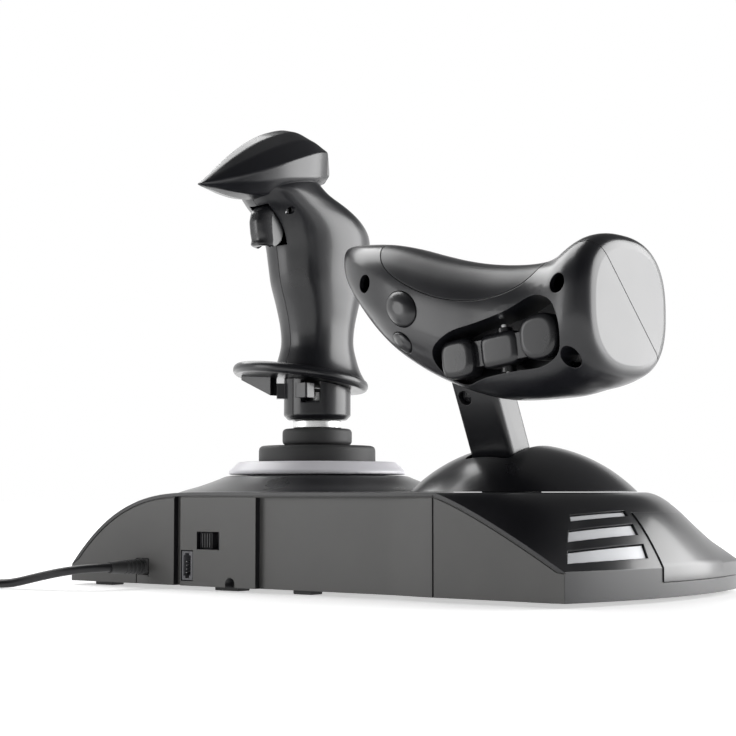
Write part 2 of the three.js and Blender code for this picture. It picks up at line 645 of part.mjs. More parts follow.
const armHole = (grow) => {
  const hole = placed(box(ARM.width + 2 * grow, ARM.depth + 2 * grow, 60), [0, 0, ARM.top - 30 + grow]);
  return placed(hole, [THROTTLE.x, THROTTLE.y, THROTTLE.pivot], [-THROTTLE.lean, 0, 0]);
};

function recessWalls() {
  const bowl = cut(rockerRecess(WALL), rockerRecess(0));
  const floor = common(rockerRecess(WALL), placed(box(90, 2, 50), [ROCKER.x, ROCKER.y - 8, ROCKER.z]));
  const behind = placed(box(200, 60, 100), [ROCKER.x, ROCKER.y - 9 + 30, ROCKER.z]);
  return common(common(join(bowl, floor), behind), handleOuter);
}

// The same solid in the lever's own frame.
function onLever(geometry) {
  lever.updateMatrix();
  return geometry.clone().applyMatrix4(lever.matrix.clone().invert());
}

const screwHoles = HANDLE_SCREWS.map(([x, z]) => placed(rodY(4.2, 60, 20), [x, 105, z]));
const mouth = common(rockerRecess(0), placed(box(200, 60, 100), [ROCKER.x, ROCKER.y - 7 + 30, ROCKER.z]));
const frontCuts = [
  topRegion(CLEAR),
  armHole(CLEAR),
  oval(BIG_BUTTON, CLEAR, [60, 130]),
  oval(SMALL_BUTTON, CLEAR, [60, 130]),
  oval(SMALL_BUTTON, FLANGE.grow + CLEAR, [FLANGE.from - CLEAR, FLANGE.to + CLEAR]),
  ...screwHoles,
  placed(placed(rod(1.8, 24, 12), [0, 1, 0]), [ROCKER.x, ROCKER.y, ROCKER.z], [0, ROCKER.turn, 0]),
];
const frontSkin = common(cut(handleShell, rockerRecess(WALL / 2)), frontHalf(CLEAR / 2));
const frontShell = cut(join(frontSkin, recessWalls()), mouth, ...frontCuts);
const palmShell = cut(handleShell, frontHalf(-CLEAR / 2), topRegion(CLEAR), armHole(CLEAR));
add("throttle_front_shell", "grip", onLever(frontShell), lever);
add("throttle_palm_shell", "grip", onLever(palmShell), lever);
add("throttle_soft_top", "soft_inlay", onLever(common(handleShell, topRegion(0))), lever);

// ---------------------------------------------------------------- throttle controls
// The rocker's keys: x and z of the middle, radius, height.
const KEYS = [
  [-22, 1.5, 9.4, 9.5],
  [0, 0, 9, 6.5],
  [20.5, -0.5, 8.8, 9],
];
function rockerBody() {
  const bar = placed(box(54, 5, 11), [-1, 1.2, 0]);
  const caps = KEYS.map(([x, z, radius, height]) => {
    const rim = [[radius, height - 2.5], [radius - 1.2, height - 0.8], [radius - 3.4, height]];
    return placed(turned([[0, 0], [radius, 0], ...rim, [0, height]], 20), [x, -1.3, z], [-90, 0, 0]);
  });
  const hub = placed(rod(3.4, 19, 16), [0, -2.2, 0]);
  const bore = placed(rod(1.8, 40, 12), [0, -2.2, 0]);
  return cut(join(bar, ...caps, hub), bore);
}
const rockerAt = (geometry) =>
  onLever(placed(geometry, [ROCKER.x, ROCKER.y + 3.2, ROCKER.z], [0, ROCKER.turn, 0]));
add("rudder_rocker", "button", rockerAt(rockerBody()), lever);
add("rocker_pin", "steel", rockerAt(placed(rod(1.5, 22, 12), [0, -2.2, 0])), lever);

// Each button ends in a face that stands out of the handle and follows its surface.
const BUTTON_RISE = 1.6;
const buttonFace = handleBlock(HANDLE, -BUTTON_RISE);
for (const [size, spec] of Object.entries({ large: BIG_BUTTON, small: SMALL_BUTTON })) {
  const stem = oval(spec, 0, [80, 96]);
  const flange = oval(spec, FLANGE.grow, [FLANGE.from, FLANGE.to]);
  add(`throttle_button_${size}`, "button", onLever(join(common(stem, buttonFace), flange)), lever);
}

// ---------------------------------------------------------------- stick gimbal
const pivot = new THREE.Group();
pivot.position.set(STICK.x, STICK.y, STICK.pivot);
root.add(pivot);
const PILLAR = { inner: 18, outer: 21, halfDepth: 8, top: 6 };
const RING = { x: 16, y: 13, innerX: 11, innerY: 8.5, half: 5 };
const PIN = { radius: 2.5, hole: 2.8, ends: [-20.5, 25] };
const SHAFT = { radius: 5, hole: 5.3, foot: -2, top: 53 };

function gimbalFrame() {
  const floor = FOOT_HEIGHT + WALL + CLEAR - STICK.pivot;
  const foot = placed(rod(33, 4, 32), [0, 0, floor + 2]);
  const height = PILLAR.top - floor;
  const thickness = PILLAR.outer - PILLAR.inner;
  const pillar = box(thickness, 2 * PILLAR.halfDepth, height);
  const pillarX = PILLAR.inner + thickness / 2;
  const pillars = [-pillarX, pillarX].map((x) => placed(pillar, [x, 0, floor + height / 2]));
  return cut(join(foot, ...pillars), rodX(PIN.hole, 80), placed(rod(12, 3, 24), [0, 0, floor + 4]));
}
add("gimbal_frame", "inner", gimbalFrame(), pivot);
const puck = (radius, thickness) => cut(rod(radius, thickness, 20), rod(PIN.hole, 40, 16));
add("pitch_sensor", "inner", placed(puck(7, 5.5), [PILLAR.outer + CLEAR + 2.75, 0, 0], [0, 90, 0]), pivot);

function pitchYoke() {
  const ring = cut(box(2 * RING.x, 2 * RING.y, 2 * RING.half), box(2 * RING.innerX, 2 * RING.innerY, 30));
  const rootX = RING.x - 1;
  const pins = PIN.ends.map((end) => {
    const middle = (end + Math.sign(end) * rootX) / 2;
    return placed(rodX(PIN.radius, Math.abs(end) - rootX), [middle, 0, 0]);
  });
  return cut(join(ring, ...pins), rodY(PIN.hole, 60));
}
add("pitch_yoke", "inner", pitchYoke(), pivot);
add("roll_sensor", "inner", placed(puck(6, 5), [0, RING.y + CLEAR + 2.5, 0], [90, 0, 0]), pivot);

function rollBlock() {
  const block = box(16, 16.4, 10);
  const pin = rodY(PIN.radius, 2 * RING.y + 8);
  const stub = placed(rod(4, 8, 16), [0, 0, -8]);
  return cut(join(block, pin, stub), placed(rod(SHAFT.hole, 20, 20), [0, 0, SHAFT.foot - CLEAR + 10]));
}
add("roll_block", "inner", rollBlock(), pivot);
const shaft = rod(SHAFT.radius, SHAFT.top - SHAFT.foot);
add("stick_shaft", "steel", placed(shaft, [0, 0, (SHAFT.top + SHAFT.foot) / 2]), pivot);

// A round wire of so many sides through points.
function wireAlong(points, radius, sides, steps) {
  const section = ringOf(sides, (a) => new THREE.Vector2(radius * Math.cos(a), radius * Math.sin(a)));
  const extrudePath = new THREE.CatmullRomCurve3(points);
  return new THREE.ExtrudeGeometry(new THREE.Shape(section), { steps, extrudePath, bevelEnabled: false });
}

// Coil spring that centres the stick, standing on the frame's foot round the lower stub.
const SPRING = { radius: 8, turns: 4, foot: -34, top: -15, wire: 1 };
function centringSpring() {
  const { radius, turns, foot, top, wire } = SPRING;
  const steps = 12 * turns;
  const points = Array.from({ length: steps + 1 }, (_, i) => {
    const angle = (2 * Math.PI * turns * i) / steps;
    return new THREE.Vector3(radius * Math.cos(angle), radius * Math.sin(angle), mix(foot, top, i / steps));
  });
  return wireAlong(points, wire, 6, steps);
}
add("centring_spring", "steel", centringSpring(), pivot);

// ---------------------------------------------------------------- stick skirts and collar
// Heights of the skirts, the collar and the neck are over the pivot.
const bored = (geometry) => cut(geometry, rod(SHAFT.hole, 400, 20));
const SKIRT = { top: 24.8, foot: 16.3, rim: 2, ball: 34.6, thickness: 1.8 };

// A cap over part of a ball round the pivot. At full tilt its raised side leaves a gap to the bezel.
function lowerSkirt() {
  const { top, foot, rim, ball, thickness } = SKIRT;
  const outer = Array.from({ length: 5 }, (_, k) => {
    const angle = mix(Math.asin(foot / ball), Math.asin(rim / ball), k / 4);
    return [ball * Math.cos(angle), ball * Math.sin(angle)];
  });
  const shrink = (ball - thickness) / ball;
  const inner = outer.map(([r, z]) => [r * shrink, Math.max(rim, z * shrink)]).reverse();
  const cap = [[0, top], [27.7, top], [29.8, top - 0.9], [30.7, top - 3], [30.7, foot]];
  return bored(turned([...cap, ...outer, ...inner, [0, inner.at(-1)[1]]], 32));
}
add("skirt_lower", "rubber", lowerSkirt(), pivot);

const upperSkirt = turned([[0, 25.1], [18.3, 25.1], [18.3, 31], [17.4, 33], [15.4, 33.8], [0, 33.8]], 36);
add("skirt_upper", "rubber", bored(upperSkirt), pivot);
add("collar", "steel", bored(turned([[0, 34.1], [12.7, 34.1], [12.7, 38], [0, 38]], 32)), pivot);

// ---------------------------------------------------------------- neck and hand rest
const REST = { x: 12, halfX: 38, halfY: 34, thickness: 5.6, z: 61, tiltX: 8.5, tiltY: -4 };

// A slab above the tilted plane of the hand rest, from its middle moved up by lift.
function aboveRest(lift) {
  const slab = placed(box(300, 300, 300), [0, 0, 150 + lift]);
  return placed(slab, [REST.x, 0, REST.z], [REST.tiltX, REST.tiltY, 0]);
}

// The sleeve between the collar and the hand rest, with the twist lock's slot at its rear.
function neck() {
  const outer = turned([[0, 38.3], [15.4, 38.3], [17.6, 40.6], [17.6, 80], [0, 80]], 32);
  const well = placed(rod(14.4, 80, 28), [0, 0, 42 + 40]);
  const slot = placed(box(9, 12, 12), [-8, 16, 53]);
  return cut(bored(outer), well, aboveRest(-REST.thickness / 2 - CLEAR), slot);
}
add("neck", "grip", neck(), pivot);
add("twist_sensor", "inner", placed(cut(rod(10, 6, 24), rod(SHAFT.hole, 40, 20)), [0, 0, 45.3]), pivot);
add("twist_lock_tab", "grip", placed(box(8, 7, 7.6), [-8, 19, 53]), pivot);

function handRest() {
  const outline = ringOf(40, (angle) => [REST.halfX * Math.cos(angle), REST.halfY * Math.sin(angle)]);
  const disc = placed(plate(outline, REST.thickness), [0, 0, -REST.thickness / 2]);
  const tilted = placed(disc, [REST.x, 0, REST.z], [REST.tiltX, REST.tiltY, 0]);
  const rib = plate([[17, 0], [38, 9], [38, 20], [17, 20]], 5).rotateX(Math.PI / 2);
  return join(tilted, common(placed(rib, [2, 16, 51.5]), cut(box(300, 300, 300), aboveRest(0))));
}
add("hand_rest", "grip", handRest(), pivot);

// ---------------------------------------------------------------- stick grip
// Heights are over the desk, and y is forward of the stick's axis.
const GRIP = { turn: -5, split: 0.15, wall: 2.4, power: 2.3 };
const grip = new THREE.Group();
grip.position.set(0, 0, -STICK.pivot);
grip.rotation.z = radians(GRIP.turn);
pivot.add(grip);

// Rows up the handle: z, half width, half depth, y of the centre.
const GRIP_ROWS = [
  [96, 25, 27, 0],
  [104, 23, 26, 0],
  [110, 20, 23.5, 0],
  [116, 18.2, 21.5, 0],
  [124, 17, 19.5, 0],
  [133, 17, 20.3, 0],
  [144, 18.4, 23, 0],
  [155, 19.8, 26.6, 0],
  [165, 20.6, 28.4, 0],
  [175, 21.6, 30.4, -0.4],
  [183, 21.8, 31.6, 1.4],
  [190, 21.2, 32, 7],
  [196, 20, 31, 15],
  [202, 18.6, 26, 24],
  [208, 16.5, 18, 25],
  [213, 13, 12, 25],
];

// Rows along the head: y, ridge height, half width and height of the flank's edge, the same for the foot of
// the band under it, and the height of the underside.
const HEAD_ROWS = [
  [7, 227.5, 15, 223, 14.5, 210, 206],
  [9, 229.6, 16.4, 224, 15.6, 210, 205],
  [16, 234, 18.6, 222.6, 17.4, 209, 203],
  [25, 235.6, 20, 219.6, 18.6, 207.6, 200],
  [38, 232, 20, 214.6, 18.2, 205.6, 197.5],
  [50, 226, 17.5, 209.8, 15.8, 203.4, 195.6],
  [62, 217.4, 12.6, 205.6, 11.4, 201.8, 196],
  [73, 208, 7, 202.6, 6.4, 200.4, 197.6],
  [80, 201.8, 2.6, 200.6, 2.4, 199.8, 198.6],
  [82.4, 200, 0.9, 199.8, 0.9, 199.5, 199.2],
];

function bodyRing([z, width, depth, y], inset) {
  return ringOf(24, (angle) => {
    const across = (width - inset) * bent(Math.cos(angle), GRIP.power);
    const ahead = (depth - inset) * bent(Math.sin(angle), GRIP.power);
    return new THREE.Vector3(across, y + ahead, z);
  });
}

function headRing([y, ridge, flank, flankZ, band, bandZ, foot], inset) {
  const half = [
    [0, ridge - inset],
    [flank * 0.34, mix(ridge, flankZ, 0.12) - inset],
    [flank * 0.72, mix(ridge, flankZ, 0.46) - inset],
    [flank, flankZ - inset * 0.4],
    [band, bandZ + inset * 0.6],
    [band * 0.6, mix(bandZ, foot, 0.8) + inset],
    [0, foot + inset],
  ];
  const right = half.map(([x, z]) => new THREE.Vector3(Math.max(0, x - inset * Math.sign(x)), y, z));
  const left = right.slice(1, -1).reverse().map((point) => new THREE.Vector3(-point.x, y, point.z));
  return [...right, ...left];
}

const gripOuter = cut(
  join(loft(GRIP_ROWS.map((row) => bodyRing(row, 0))), loft(HEAD_ROWS.map((row) => headRing(row, 0)))),
  placed(cut(box(300, 300, 300), aboveRest(REST.thickness / 2 + CLEAR)), [0, 0, STICK.pivot]),
);
const gripHollow = join(
  loft(GRIP_ROWS.map((row) => bodyRing(row, GRIP.wall))),
  loft(HEAD_ROWS.slice(2, -3).map((row) => headRing(row, GRIP.wall))),
);
const gripShell = cut(gripOuter, gripHollow);

// Trigger: an upright blade that hangs from a cross pin under the beak. Its outline is in y and z.
const TRIGGER = { width: 13, pin: [33, 190.6], hole: 1.8 };
const TRIGGER_OUTLINE = [
  [29, 190], [32, 194], [37, 194.6], [42, 193.2], [45, 190], [46.2, 185], [45.4, 179], [44.4, 175.4],
  [45.4, 173.2], [42.6, 172.2], [37, 174], [32.6, 176.8], [30.6, 181], [29, 185],
];

// Room round the trigger, with more behind it for its swing.
const TRIGGER_ROOM = [
  [27.7, 190.9], [30.7, 194.9], [35.7, 195.5], [42.3, 194.1], [45.3, 190.9], [46.5, 185.9], [45.7, 178.1],
  [44.7, 174.5], [45.7, 172.3], [42.9, 171.3], [35.7, 173.1], [27, 174.5], [25, 180], [25.5, 187],
];

// A plate of an outline given in y and z, across x.
function sidewaysPlate(outline, width) {
  return plate(outline, width).rotateX(Math.PI / 2).rotateZ(Math.PI / 2).translate(-width / 2, 0, 0);
}

// The plate that faces the pilot, with its hat and two buttons.
const FACE = { y: 7, z: 218, width: 27, height: 19.5, thickness: 2.6, corner: 4 };
const HAT = { z: 221.6, hole: 4.4, gap: 1.3, stem: 2.2 };
const HEAD_BUTTONS = { left: [-7.8, 213.8], right: [7.8, 213.8] };
const HEAD_BUTTON = { radius: 3.6, hole: 3.9, flange: 4.4 };

const backHole = placed(box(FACE.width - 1.6, 12, FACE.height - 1.6), [0, FACE.y + 1, FACE.z]);
const pinHole = placed(rodX(TRIGGER.hole, 60, 12), [0, ...TRIGGER.pin]);
const triggerSpace = sidewaysPlate(TRIGGER_ROOM, TRIGGER.width + 4 * CLEAR);
const footHole = placed(rod(18.2, 20, 24), [0, 0, 96]);
const openings = [triggerSpace, backHole, pinHole, footHole];
const halfSpace = (side) => placed(box(100, 300, 400), [side * (50 + GRIP.split), 0, 150]);
add("grip_left_shell", "grip", common(cut(gripShell, ...openings), halfSpace(-1)), grip);
add("grip_right_shell", "grip", common(cut(gripShell, ...openings), halfSpace(1)), grip);

function facePlate() {
  const [w, h, c] = [FACE.width / 2, FACE.height / 2, FACE.corner];
  const right = [[w - c, -h], [w, c - h], [w - 1, h - c], [w - 1 - c, h]];
  const outline = [...right, ...right.map(([x, z]) => [-x, z]).reverse()];
  const body = placed(plate(outline, FACE.thickness).rotateX(Math.PI / 2), [0, FACE.y - CLEAR, FACE.z]);
  const hatHole = placed(rodY(HAT.hole, 20, 20), [0, FACE.y, HAT.z]);
  const buttonHole = rodY(HEAD_BUTTON.hole, 20, 20);
  const buttonHoles = Object.values(HEAD_BUTTONS).map(([x, z]) => placed(buttonHole, [x, FACE.y, z]));
  return cut(body, hatHole, ...buttonHoles);
}
add("control_plate", "casing", facePlate(), grip);

const hatFront = FACE.y - CLEAR - FACE.thickness;
const hatBack = hatFront - HAT.gap;
const hatDish = turned([[0, 0], [5.6, 0], [6.2, 1.4], [5.6, 3], [3.2, 2.4], [0, 2.2]], 24);
const hatStem = placed(rodY(HAT.stem, 6.4), [0, hatBack + 3, HAT.z]);
add("hat_cap", "button", join(placed(hatDish, [0, hatBack, HAT.z], [90, 0, 0]), hatStem), grip);
const hatSocket = placed(rodY(HAT.stem + CLEAR, 5), [0, hatFront + 5.4, HAT.z]);
const hatCarrier = cut(placed(box(9, 4, 6.6), [0, hatFront + 6.7, HAT.z]), hatSocket);
add("hat_carrier", "inner", hatCarrier, grip);
for (const [side, [x, z]] of Object.entries(HEAD_BUTTONS)) {
  const cap = join(
    placed(rodY(HEAD_BUTTON.radius, 6.6, 20), [x, FACE.y - 1.6, z]),
    placed(rodY(HEAD_BUTTON.flange, 1, 20), [x, FACE.y + 1.2, z]),
  );
  add(`head_button_${side}`, "button", cap, grip);
}
add("trigger", "button", cut(sidewaysPlate(TRIGGER_OUTLINE, TRIGGER.width), pinHole), grip);
add("trigger_pin", "steel", placed(rodX(1.5, TRIGGER.width + 10, 12), [0, ...TRIGGER.pin]), grip);
add("grip_board", "board", placed(box(1.6, 22, 40), [6, 0, 158]), grip);

// ---------------------------------------------------------------- inside the base
add("main_board", "board", placed(box(70, 45, 1.6), [-5, 40, 12.8]));
add("ballast_plate", "steel", placed(box(78, 40, 6), [-36, -36, FOOT_HEIGHT + WALL + CLEAR + 3]));

// ---------------------------------------------------------------- cable
const RELIEF = { length: 21.5, foot: 3.7, tip: 2.8 };
function strainRelief() {
  const { length, foot, tip } = RELIEF;
  const cone = turned([[0, 0], [foot, 0], [foot, length / 2], [tip, length], [0, length]], 16);
  const sleeve = placed(cone, [0, REAR_WALL, 0], [-90, 0, 0]);
  const block = placed(box(CABLE.slot - 2 * CLEAR, REAR_WALL + 1, 7), [0, REAR_WALL / 2, 0]);
  const flange = placed(box(14, 2, 7), [0, -1.4, 0]);
  return placed(join(sleeve, block, flange), [CABLE.x, REAR - REAR_WALL, CABLE.z]);
}
add("strain_relief", "rubber", strainRelief());

// The stretch of cable that isn't coiled, from the strain relief to the coil.
const COIL = { x: 175, y: 178.4, radius: 24.7, pitch: 4.3, columns: 4, layers: 4 };
const CABLE_ROUTE = [
  [97.2, 121.8, 10.5],
  [98.2, 128, 10.4],
  [102.5, 134, 10],
  [110, 138.8, 8.8],
  [119, 142, 7],
  [128.5, 144.4, 4.9],
  [138, 146.2, 3],
  [147, 147.1, 2.3],
  [157, 147.3, 2.2],
];
const routePoints = CABLE_ROUTE.map((point) => new THREE.Vector3(...point));
add("usb_cable", "cable", wireAlong(routePoints, CABLE.radius, 8, 9));

const coilHalf = (COIL.columns * COIL.pitch) / 2;
const coilTop = COIL.layers * COIL.pitch;
const [coilInner, coilOuter] = [COIL.radius - coilHalf, COIL.radius + coilHalf];
const coilEdge = [[coilInner, 0], [coilOuter, 0], [coilOuter, coilTop], [coilInner, coilTop], [coilInner, 0]];
const coilRing = turned(coilEdge, 32);
add("cable_coil", "cable", placed(coilRing, [COIL.x, COIL.y, 0.05]));

const PLUG = { x: 174.8, y: 201, body: [26, 15.6, 7.6], shell: [17, 12, 4.5] };
const plugZ = coilTop + CLEAR + PLUG.body[2] / 2 + 0.05;
add("usb_plug_body", "rubber", placed(box(...PLUG.body), [PLUG.x, PLUG.y, plugZ]));
const shellX = PLUG.x - (PLUG.body[0] + PLUG.shell[0]) / 2 - CLEAR;
const plugShell = cut(box(...PLUG.shell), placed(box(PLUG.shell[0], PLUG.shell[1] - 0.8, 1.6), [-2, 0, 0.9]));
add("usb_plug_shell", "steel", placed(plugShell, [shellX, PLUG.y, plugZ]));

export default root;
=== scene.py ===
"""Looks of a desk flight controller: a stick and a throttle on one base, with its coiled USB lead.

Shapes are worked out in millimetres in the CAD layout's own coordinates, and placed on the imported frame
from the collar on the stick. Everything else is in metres.
"""
import json
import math

import bmesh
import bpy
from mathutils import Euler, Matrix, Vector


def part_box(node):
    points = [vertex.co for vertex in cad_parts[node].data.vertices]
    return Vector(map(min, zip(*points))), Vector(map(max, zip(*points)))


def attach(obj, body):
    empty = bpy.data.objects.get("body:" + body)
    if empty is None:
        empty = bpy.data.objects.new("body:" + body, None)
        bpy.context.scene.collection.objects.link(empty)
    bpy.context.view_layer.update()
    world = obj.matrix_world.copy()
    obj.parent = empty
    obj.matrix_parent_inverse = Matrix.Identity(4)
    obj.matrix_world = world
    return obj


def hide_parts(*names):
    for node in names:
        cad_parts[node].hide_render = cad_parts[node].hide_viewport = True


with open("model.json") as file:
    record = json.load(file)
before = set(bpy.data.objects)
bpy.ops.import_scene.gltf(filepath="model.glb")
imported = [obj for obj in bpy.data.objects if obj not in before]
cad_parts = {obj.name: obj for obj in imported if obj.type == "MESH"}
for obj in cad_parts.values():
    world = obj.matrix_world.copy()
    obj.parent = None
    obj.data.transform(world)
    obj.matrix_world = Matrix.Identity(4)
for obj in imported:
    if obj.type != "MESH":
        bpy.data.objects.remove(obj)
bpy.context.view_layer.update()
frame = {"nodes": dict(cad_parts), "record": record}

# ---------------------------------------------------------------- driving dimensions, as in the CAD
MM = 0.001
STICK = (71, 0, 46)
THROTTLE = (-76, 25, 26.5)
LEAN = 25  # forward lean of the throttle at rest, in degrees
GRIP_TURN = -5  # turn of the grip about the stick, in degrees
FOOT_HEIGHT, DECK, REAR, WALL, CLEAR = 2, 46.4, 100, 2.4, 0.3
REAR_WALL = 5.6
LEFT_CORNER, RIGHT_CORNER = -146, 149
LEFT_FRONT, RIGHT_FRONT = -50, -100
BEZEL = {"inner": 36.9, "outer": 46.4, "foot": 55.4, "top": 62.3}
BEZEL_NOTCHES = {"count": 8, "first": 0.2, "size": (3, 2.2, 2), "inset": 1.6}
DOME = {"radius": 52, "rise": 22, "hole": 44, "half_slot": 12.2, "slot_rear": 30, "slot_front": -31}
NOSE = 1.08  # the front edge's share, past the front corners at 1

collar_low, collar_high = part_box("collar")
collar_middle = (collar_low + collar_high) / 2
LAYOUT = Matrix.Translation((collar_middle.x / MM - STICK[0], collar_middle.y / MM - STICK[1], 0))
ON_STICK = LAYOUT @ Matrix.Translation(STICK)
STICK_AXIS = Matrix.Translation((STICK[0], STICK[1], 0))
ON_GRIP = LAYOUT @ STICK_AXIS @ Matrix.Rotation(math.radians(GRIP_TURN), 4, "Z")

# Turns in degrees that point a solid's z axis at the pilot, ahead and to the right.
TO_PILOT, AHEAD, TO_RIGHT = (90, 0, 0), (-90, 0, 0), (0, 90, 0)


def row_point(x, y, z):
    """A layout point in the frame's metres."""
    return LAYOUT @ Vector((x, y, z)) * MM


def linked(name, data):
    """A new object in the scene."""
    made = bpy.data.objects.new(name, data)
    bpy.context.scene.collection.objects.link(made)
    return made


def aim(thing, at, ahead):
    """Stands a camera or a light at a point, looking ahead."""
    thing.location = at
    thing.rotation_mode = "QUATERNION"
    thing.rotation_quaternion = ahead.to_track_quat("-Z", "Y")


# ---------------------------------------------------------------- camera
CAMERA_AT = (-0.51505, 0.68284, 0.04623)
CAMERA_YAW, CAMERA_PITCH = math.radians(-50.834), math.radians(4.205)
CAMERA_LENS = 83.0


def make_camera():
    data = bpy.data.cameras.new("camera")
    data.lens, data.sensor_width = CAMERA_LENS, 36
    data.clip_start, data.clip_end = 0.01, 50
    level = math.cos(CAMERA_PITCH)
    ahead = (math.cos(CAMERA_YAW) * level, math.sin(CAMERA_YAW) * level, math.sin(CAMERA_PITCH))
    camera = linked("camera", data)
    aim(camera, CAMERA_AT, Vector(ahead))
    bpy.context.scene.camera = camera


# ---------------------------------------------------------------- materials
NOISE_SPAN = (0.3, 0.7)  # where most values of a noise lie
CLOUD_SIZE = 0.035  # of the slow changes of shade and gloss, in metres
TURNED = (60, 60, 6000)  # scale of a noise that looks like lines round the z axis


def wire(tree, node, inputs):
    """Sets each of these inputs of a node, or links it where its value is another node's output."""
    for name, value in inputs.items():
        if isinstance(value, bpy.types.NodeSocket):
            tree.links.new(value, node.inputs[name])
        else:
            node.inputs[name].default_value = value
    return node


def add(tree, kind, inputs):
    return wire(tree, tree.nodes.new("ShaderNode" + kind), inputs)


def finish(tree, inputs):
    """Sets or links inputs of a material's shader."""
    wire(tree, tree.nodes["Principled BSDF"], inputs)


def new_material(name, colour, roughness, metallic=0.0, coat=0.0):
    material = bpy.data.materials.new(name)
    material.use_nodes = True
    gloss = {"Roughness": roughness, "Metallic": metallic, "Coat Weight": coat, "Coat Roughness": 0.12}
    finish(material.node_tree, {"Base Color": (*colour, 1), **gloss})
    return material


def on_object(tree):
    """Places over the object, in its own metres."""
    return add(tree, "TexCoord", {}).outputs["Object"]


def noise(tree, size, detail):
    """Noise over the object, with features of about that size in metres."""
    inputs = {"Scale": 1 / size, "Detail": detail, "Vector": on_object(tree)}
    return add(tree, "TexNoise", inputs).outputs["Fac"]


def ranged(tree, value, inputs, outputs):
    """A value mapped from one range to another, kept inside it."""
    names = ("Value", "From Min", "From Max", "To Min", "To Max")
    return add(tree, "MapRange", dict(zip(names, (value, *inputs, *outputs)))).outputs["Result"]


def tint(tree, value, dark, light):
    """A colour between two, following a noise value."""
    ramp = add(tree, "ValToRGB", {"Fac": value})
    for element, place, colour in zip(ramp.color_ramp.elements, NOISE_SPAN, (dark, light)):
        element.position = place
        element.color = (*colour, 1)
    return ramp.outputs["Color"]


def relief(tree, height, depth, edge):
    """Normals of a fine surface texture that deep, with edges rounded by edge, both in metres."""
    rounding = add(tree, "Bevel", {"Radius": edge})
    rounding.samples = 4
    inputs = {"Strength": 1, "Distance": depth, "Height": height, "Normal": rounding.outputs["Normal"]}
    return add(tree, "Bump", inputs).outputs["Normal"]


def moulding(
    name, colour, roughness, grain=0.0006, depth=0.00001, variation=0.12, edge=0.0005, **shader_values
):
    """A moulded surface: an etched grain, cloudy gloss and a little shade variation."""
    material = new_material(name, colour, roughness, **shader_values)
    tree = material.node_tree
    cloud = noise(tree, CLOUD_SIZE, 4)
    darker = tuple(c * (1 - variation) for c in colour)
    lighter = tuple(min(1, c * (1 + variation)) for c in colour)
    finish(tree, {
        "Base Color": tint(tree, cloud, darker, lighter),
        "Roughness": ranged(tree, cloud, NOISE_SPAN, (roughness * 0.9, roughness * 1.12)),
        "Normal": relief(tree, noise(tree, grain, 2), depth, edge),
    })
    return material


def brushed(name, colour, roughness, depth=0.000004):
    """A turned or drawn metal, with fine lines round the z axis."""
    material = new_material(name, colour, roughness, metallic=1.0)
    tree = material.node_tree
    stretch = add(tree, "Mapping", {"Scale": TURNED, "Vector": on_object(tree)}).outputs["Vector"]
    lines = add(tree, "TexNoise", {"Scale": 1, "Detail": 2, "Vector": stretch}).outputs["Fac"]
    finish(tree, {
        "Base Color": tint(tree, lines, tuple(c * 0.9 for c in colour), colour),
        "Roughness": ranged(tree, lines, NOISE_SPAN, (roughness * 0.75, roughness * 1.3)),
        "Normal": relief(tree, lines, depth, 0.0003),
    })
    return material


def circuit_board(name):
    """Green lacquer over copper tracks."""
    material = new_material(name, (0.03, 0.16, 0.07), 0.35, coat=0.4)
    tree = material.node_tree
    tracks = add(tree, "TexBrick", {
        "Scale": 90, "Vector": on_object(tree),
        "Color1": (0.02, 0.13, 0.05, 1), "Color2": (0.03, 0.17, 0.07, 1), "Mortar": (0.06, 0.3, 0.12, 1),
    })
    finish(tree, {"Base Color": tracks.outputs["Color"]})
    return material


def make_materials():
    return {
        "casing": moulding("casing", (0.0075, 0.0077, 0.0095), 0.3, coat=0.2),
        # wall: a lighter grey copy of the black casing moulding; its colour is a painted sheen of the softbox
        # on the rear-facing faces
        "wall": moulding("wall", (0.078, 0.077, 0.075), 0.42, grain=0.0004, depth=0.000016),
        "grip": moulding("grip", (0.008, 0.0082, 0.0105), 0.3, coat=0.2),
        "soft_inlay": moulding("soft_inlay", (0.0065, 0.0067, 0.009), 0.36, grain=0.0003),
        "button": moulding("button", (0.011, 0.0112, 0.013), 0.28, coat=0.2, edge=0.0004),
        "silver": moulding(
            "silver", (0.72, 0.73, 0.75), 0.42, metallic=0.1, grain=0.0002, depth=0.000004, edge=0.0003
        ),
        "bezel": moulding("bezel", (0.74, 0.73, 0.77), 0.38, grain=0.0004, variation=0.05),
        "steel": brushed("steel", (0.88, 0.88, 0.88), 0.34),
        "rubber": moulding("rubber", (0.04, 0.04, 0.041), 0.6, grain=0.0003, depth=0.00002, edge=0.0006),
        "inner": moulding("inner", (0.12, 0.12, 0.13), 0.5),
        "board": circuit_board("board"),
        "cable": moulding("cable", (0.016, 0.016, 0.018), 0.45, grain=0.0005, depth=0.000012),
    }


MATERIAL = make_materials()

# ---------------------------------------------------------------- solids, in millimetres


def solid(points, faces):
    """A closed mesh object with its faces pointing out."""
    mesh = bpy.data.meshes.new("solid")
    mesh.from_pydata([tuple(p) for p in points], [], faces)
    shape = bmesh.new()
    shape.from_mesh(mesh)
    bmesh.ops.recalc_face_normals(shape, faces=shape.faces)
    shape.to_mesh(mesh)
    shape.free()
    return linked("solid", mesh)


def loft(rings):
    """A closed solid through rings of points, with the same count in each."""
    sides = len(rings[0])
    points = [point for ring in rings for point in ring]
    faces = []
    for ring in range(len(rings) - 1):
        for side in range(sides):
            a, b = ring * sides + side, ring * sides + (side + 1) % sides
            faces.append((a, b, b + sides, a + sides))
    last = (len(rings) - 1) * sides
    faces += [tuple(range(sides)), tuple(range(last, last + sides))]
    return solid(points, faces)


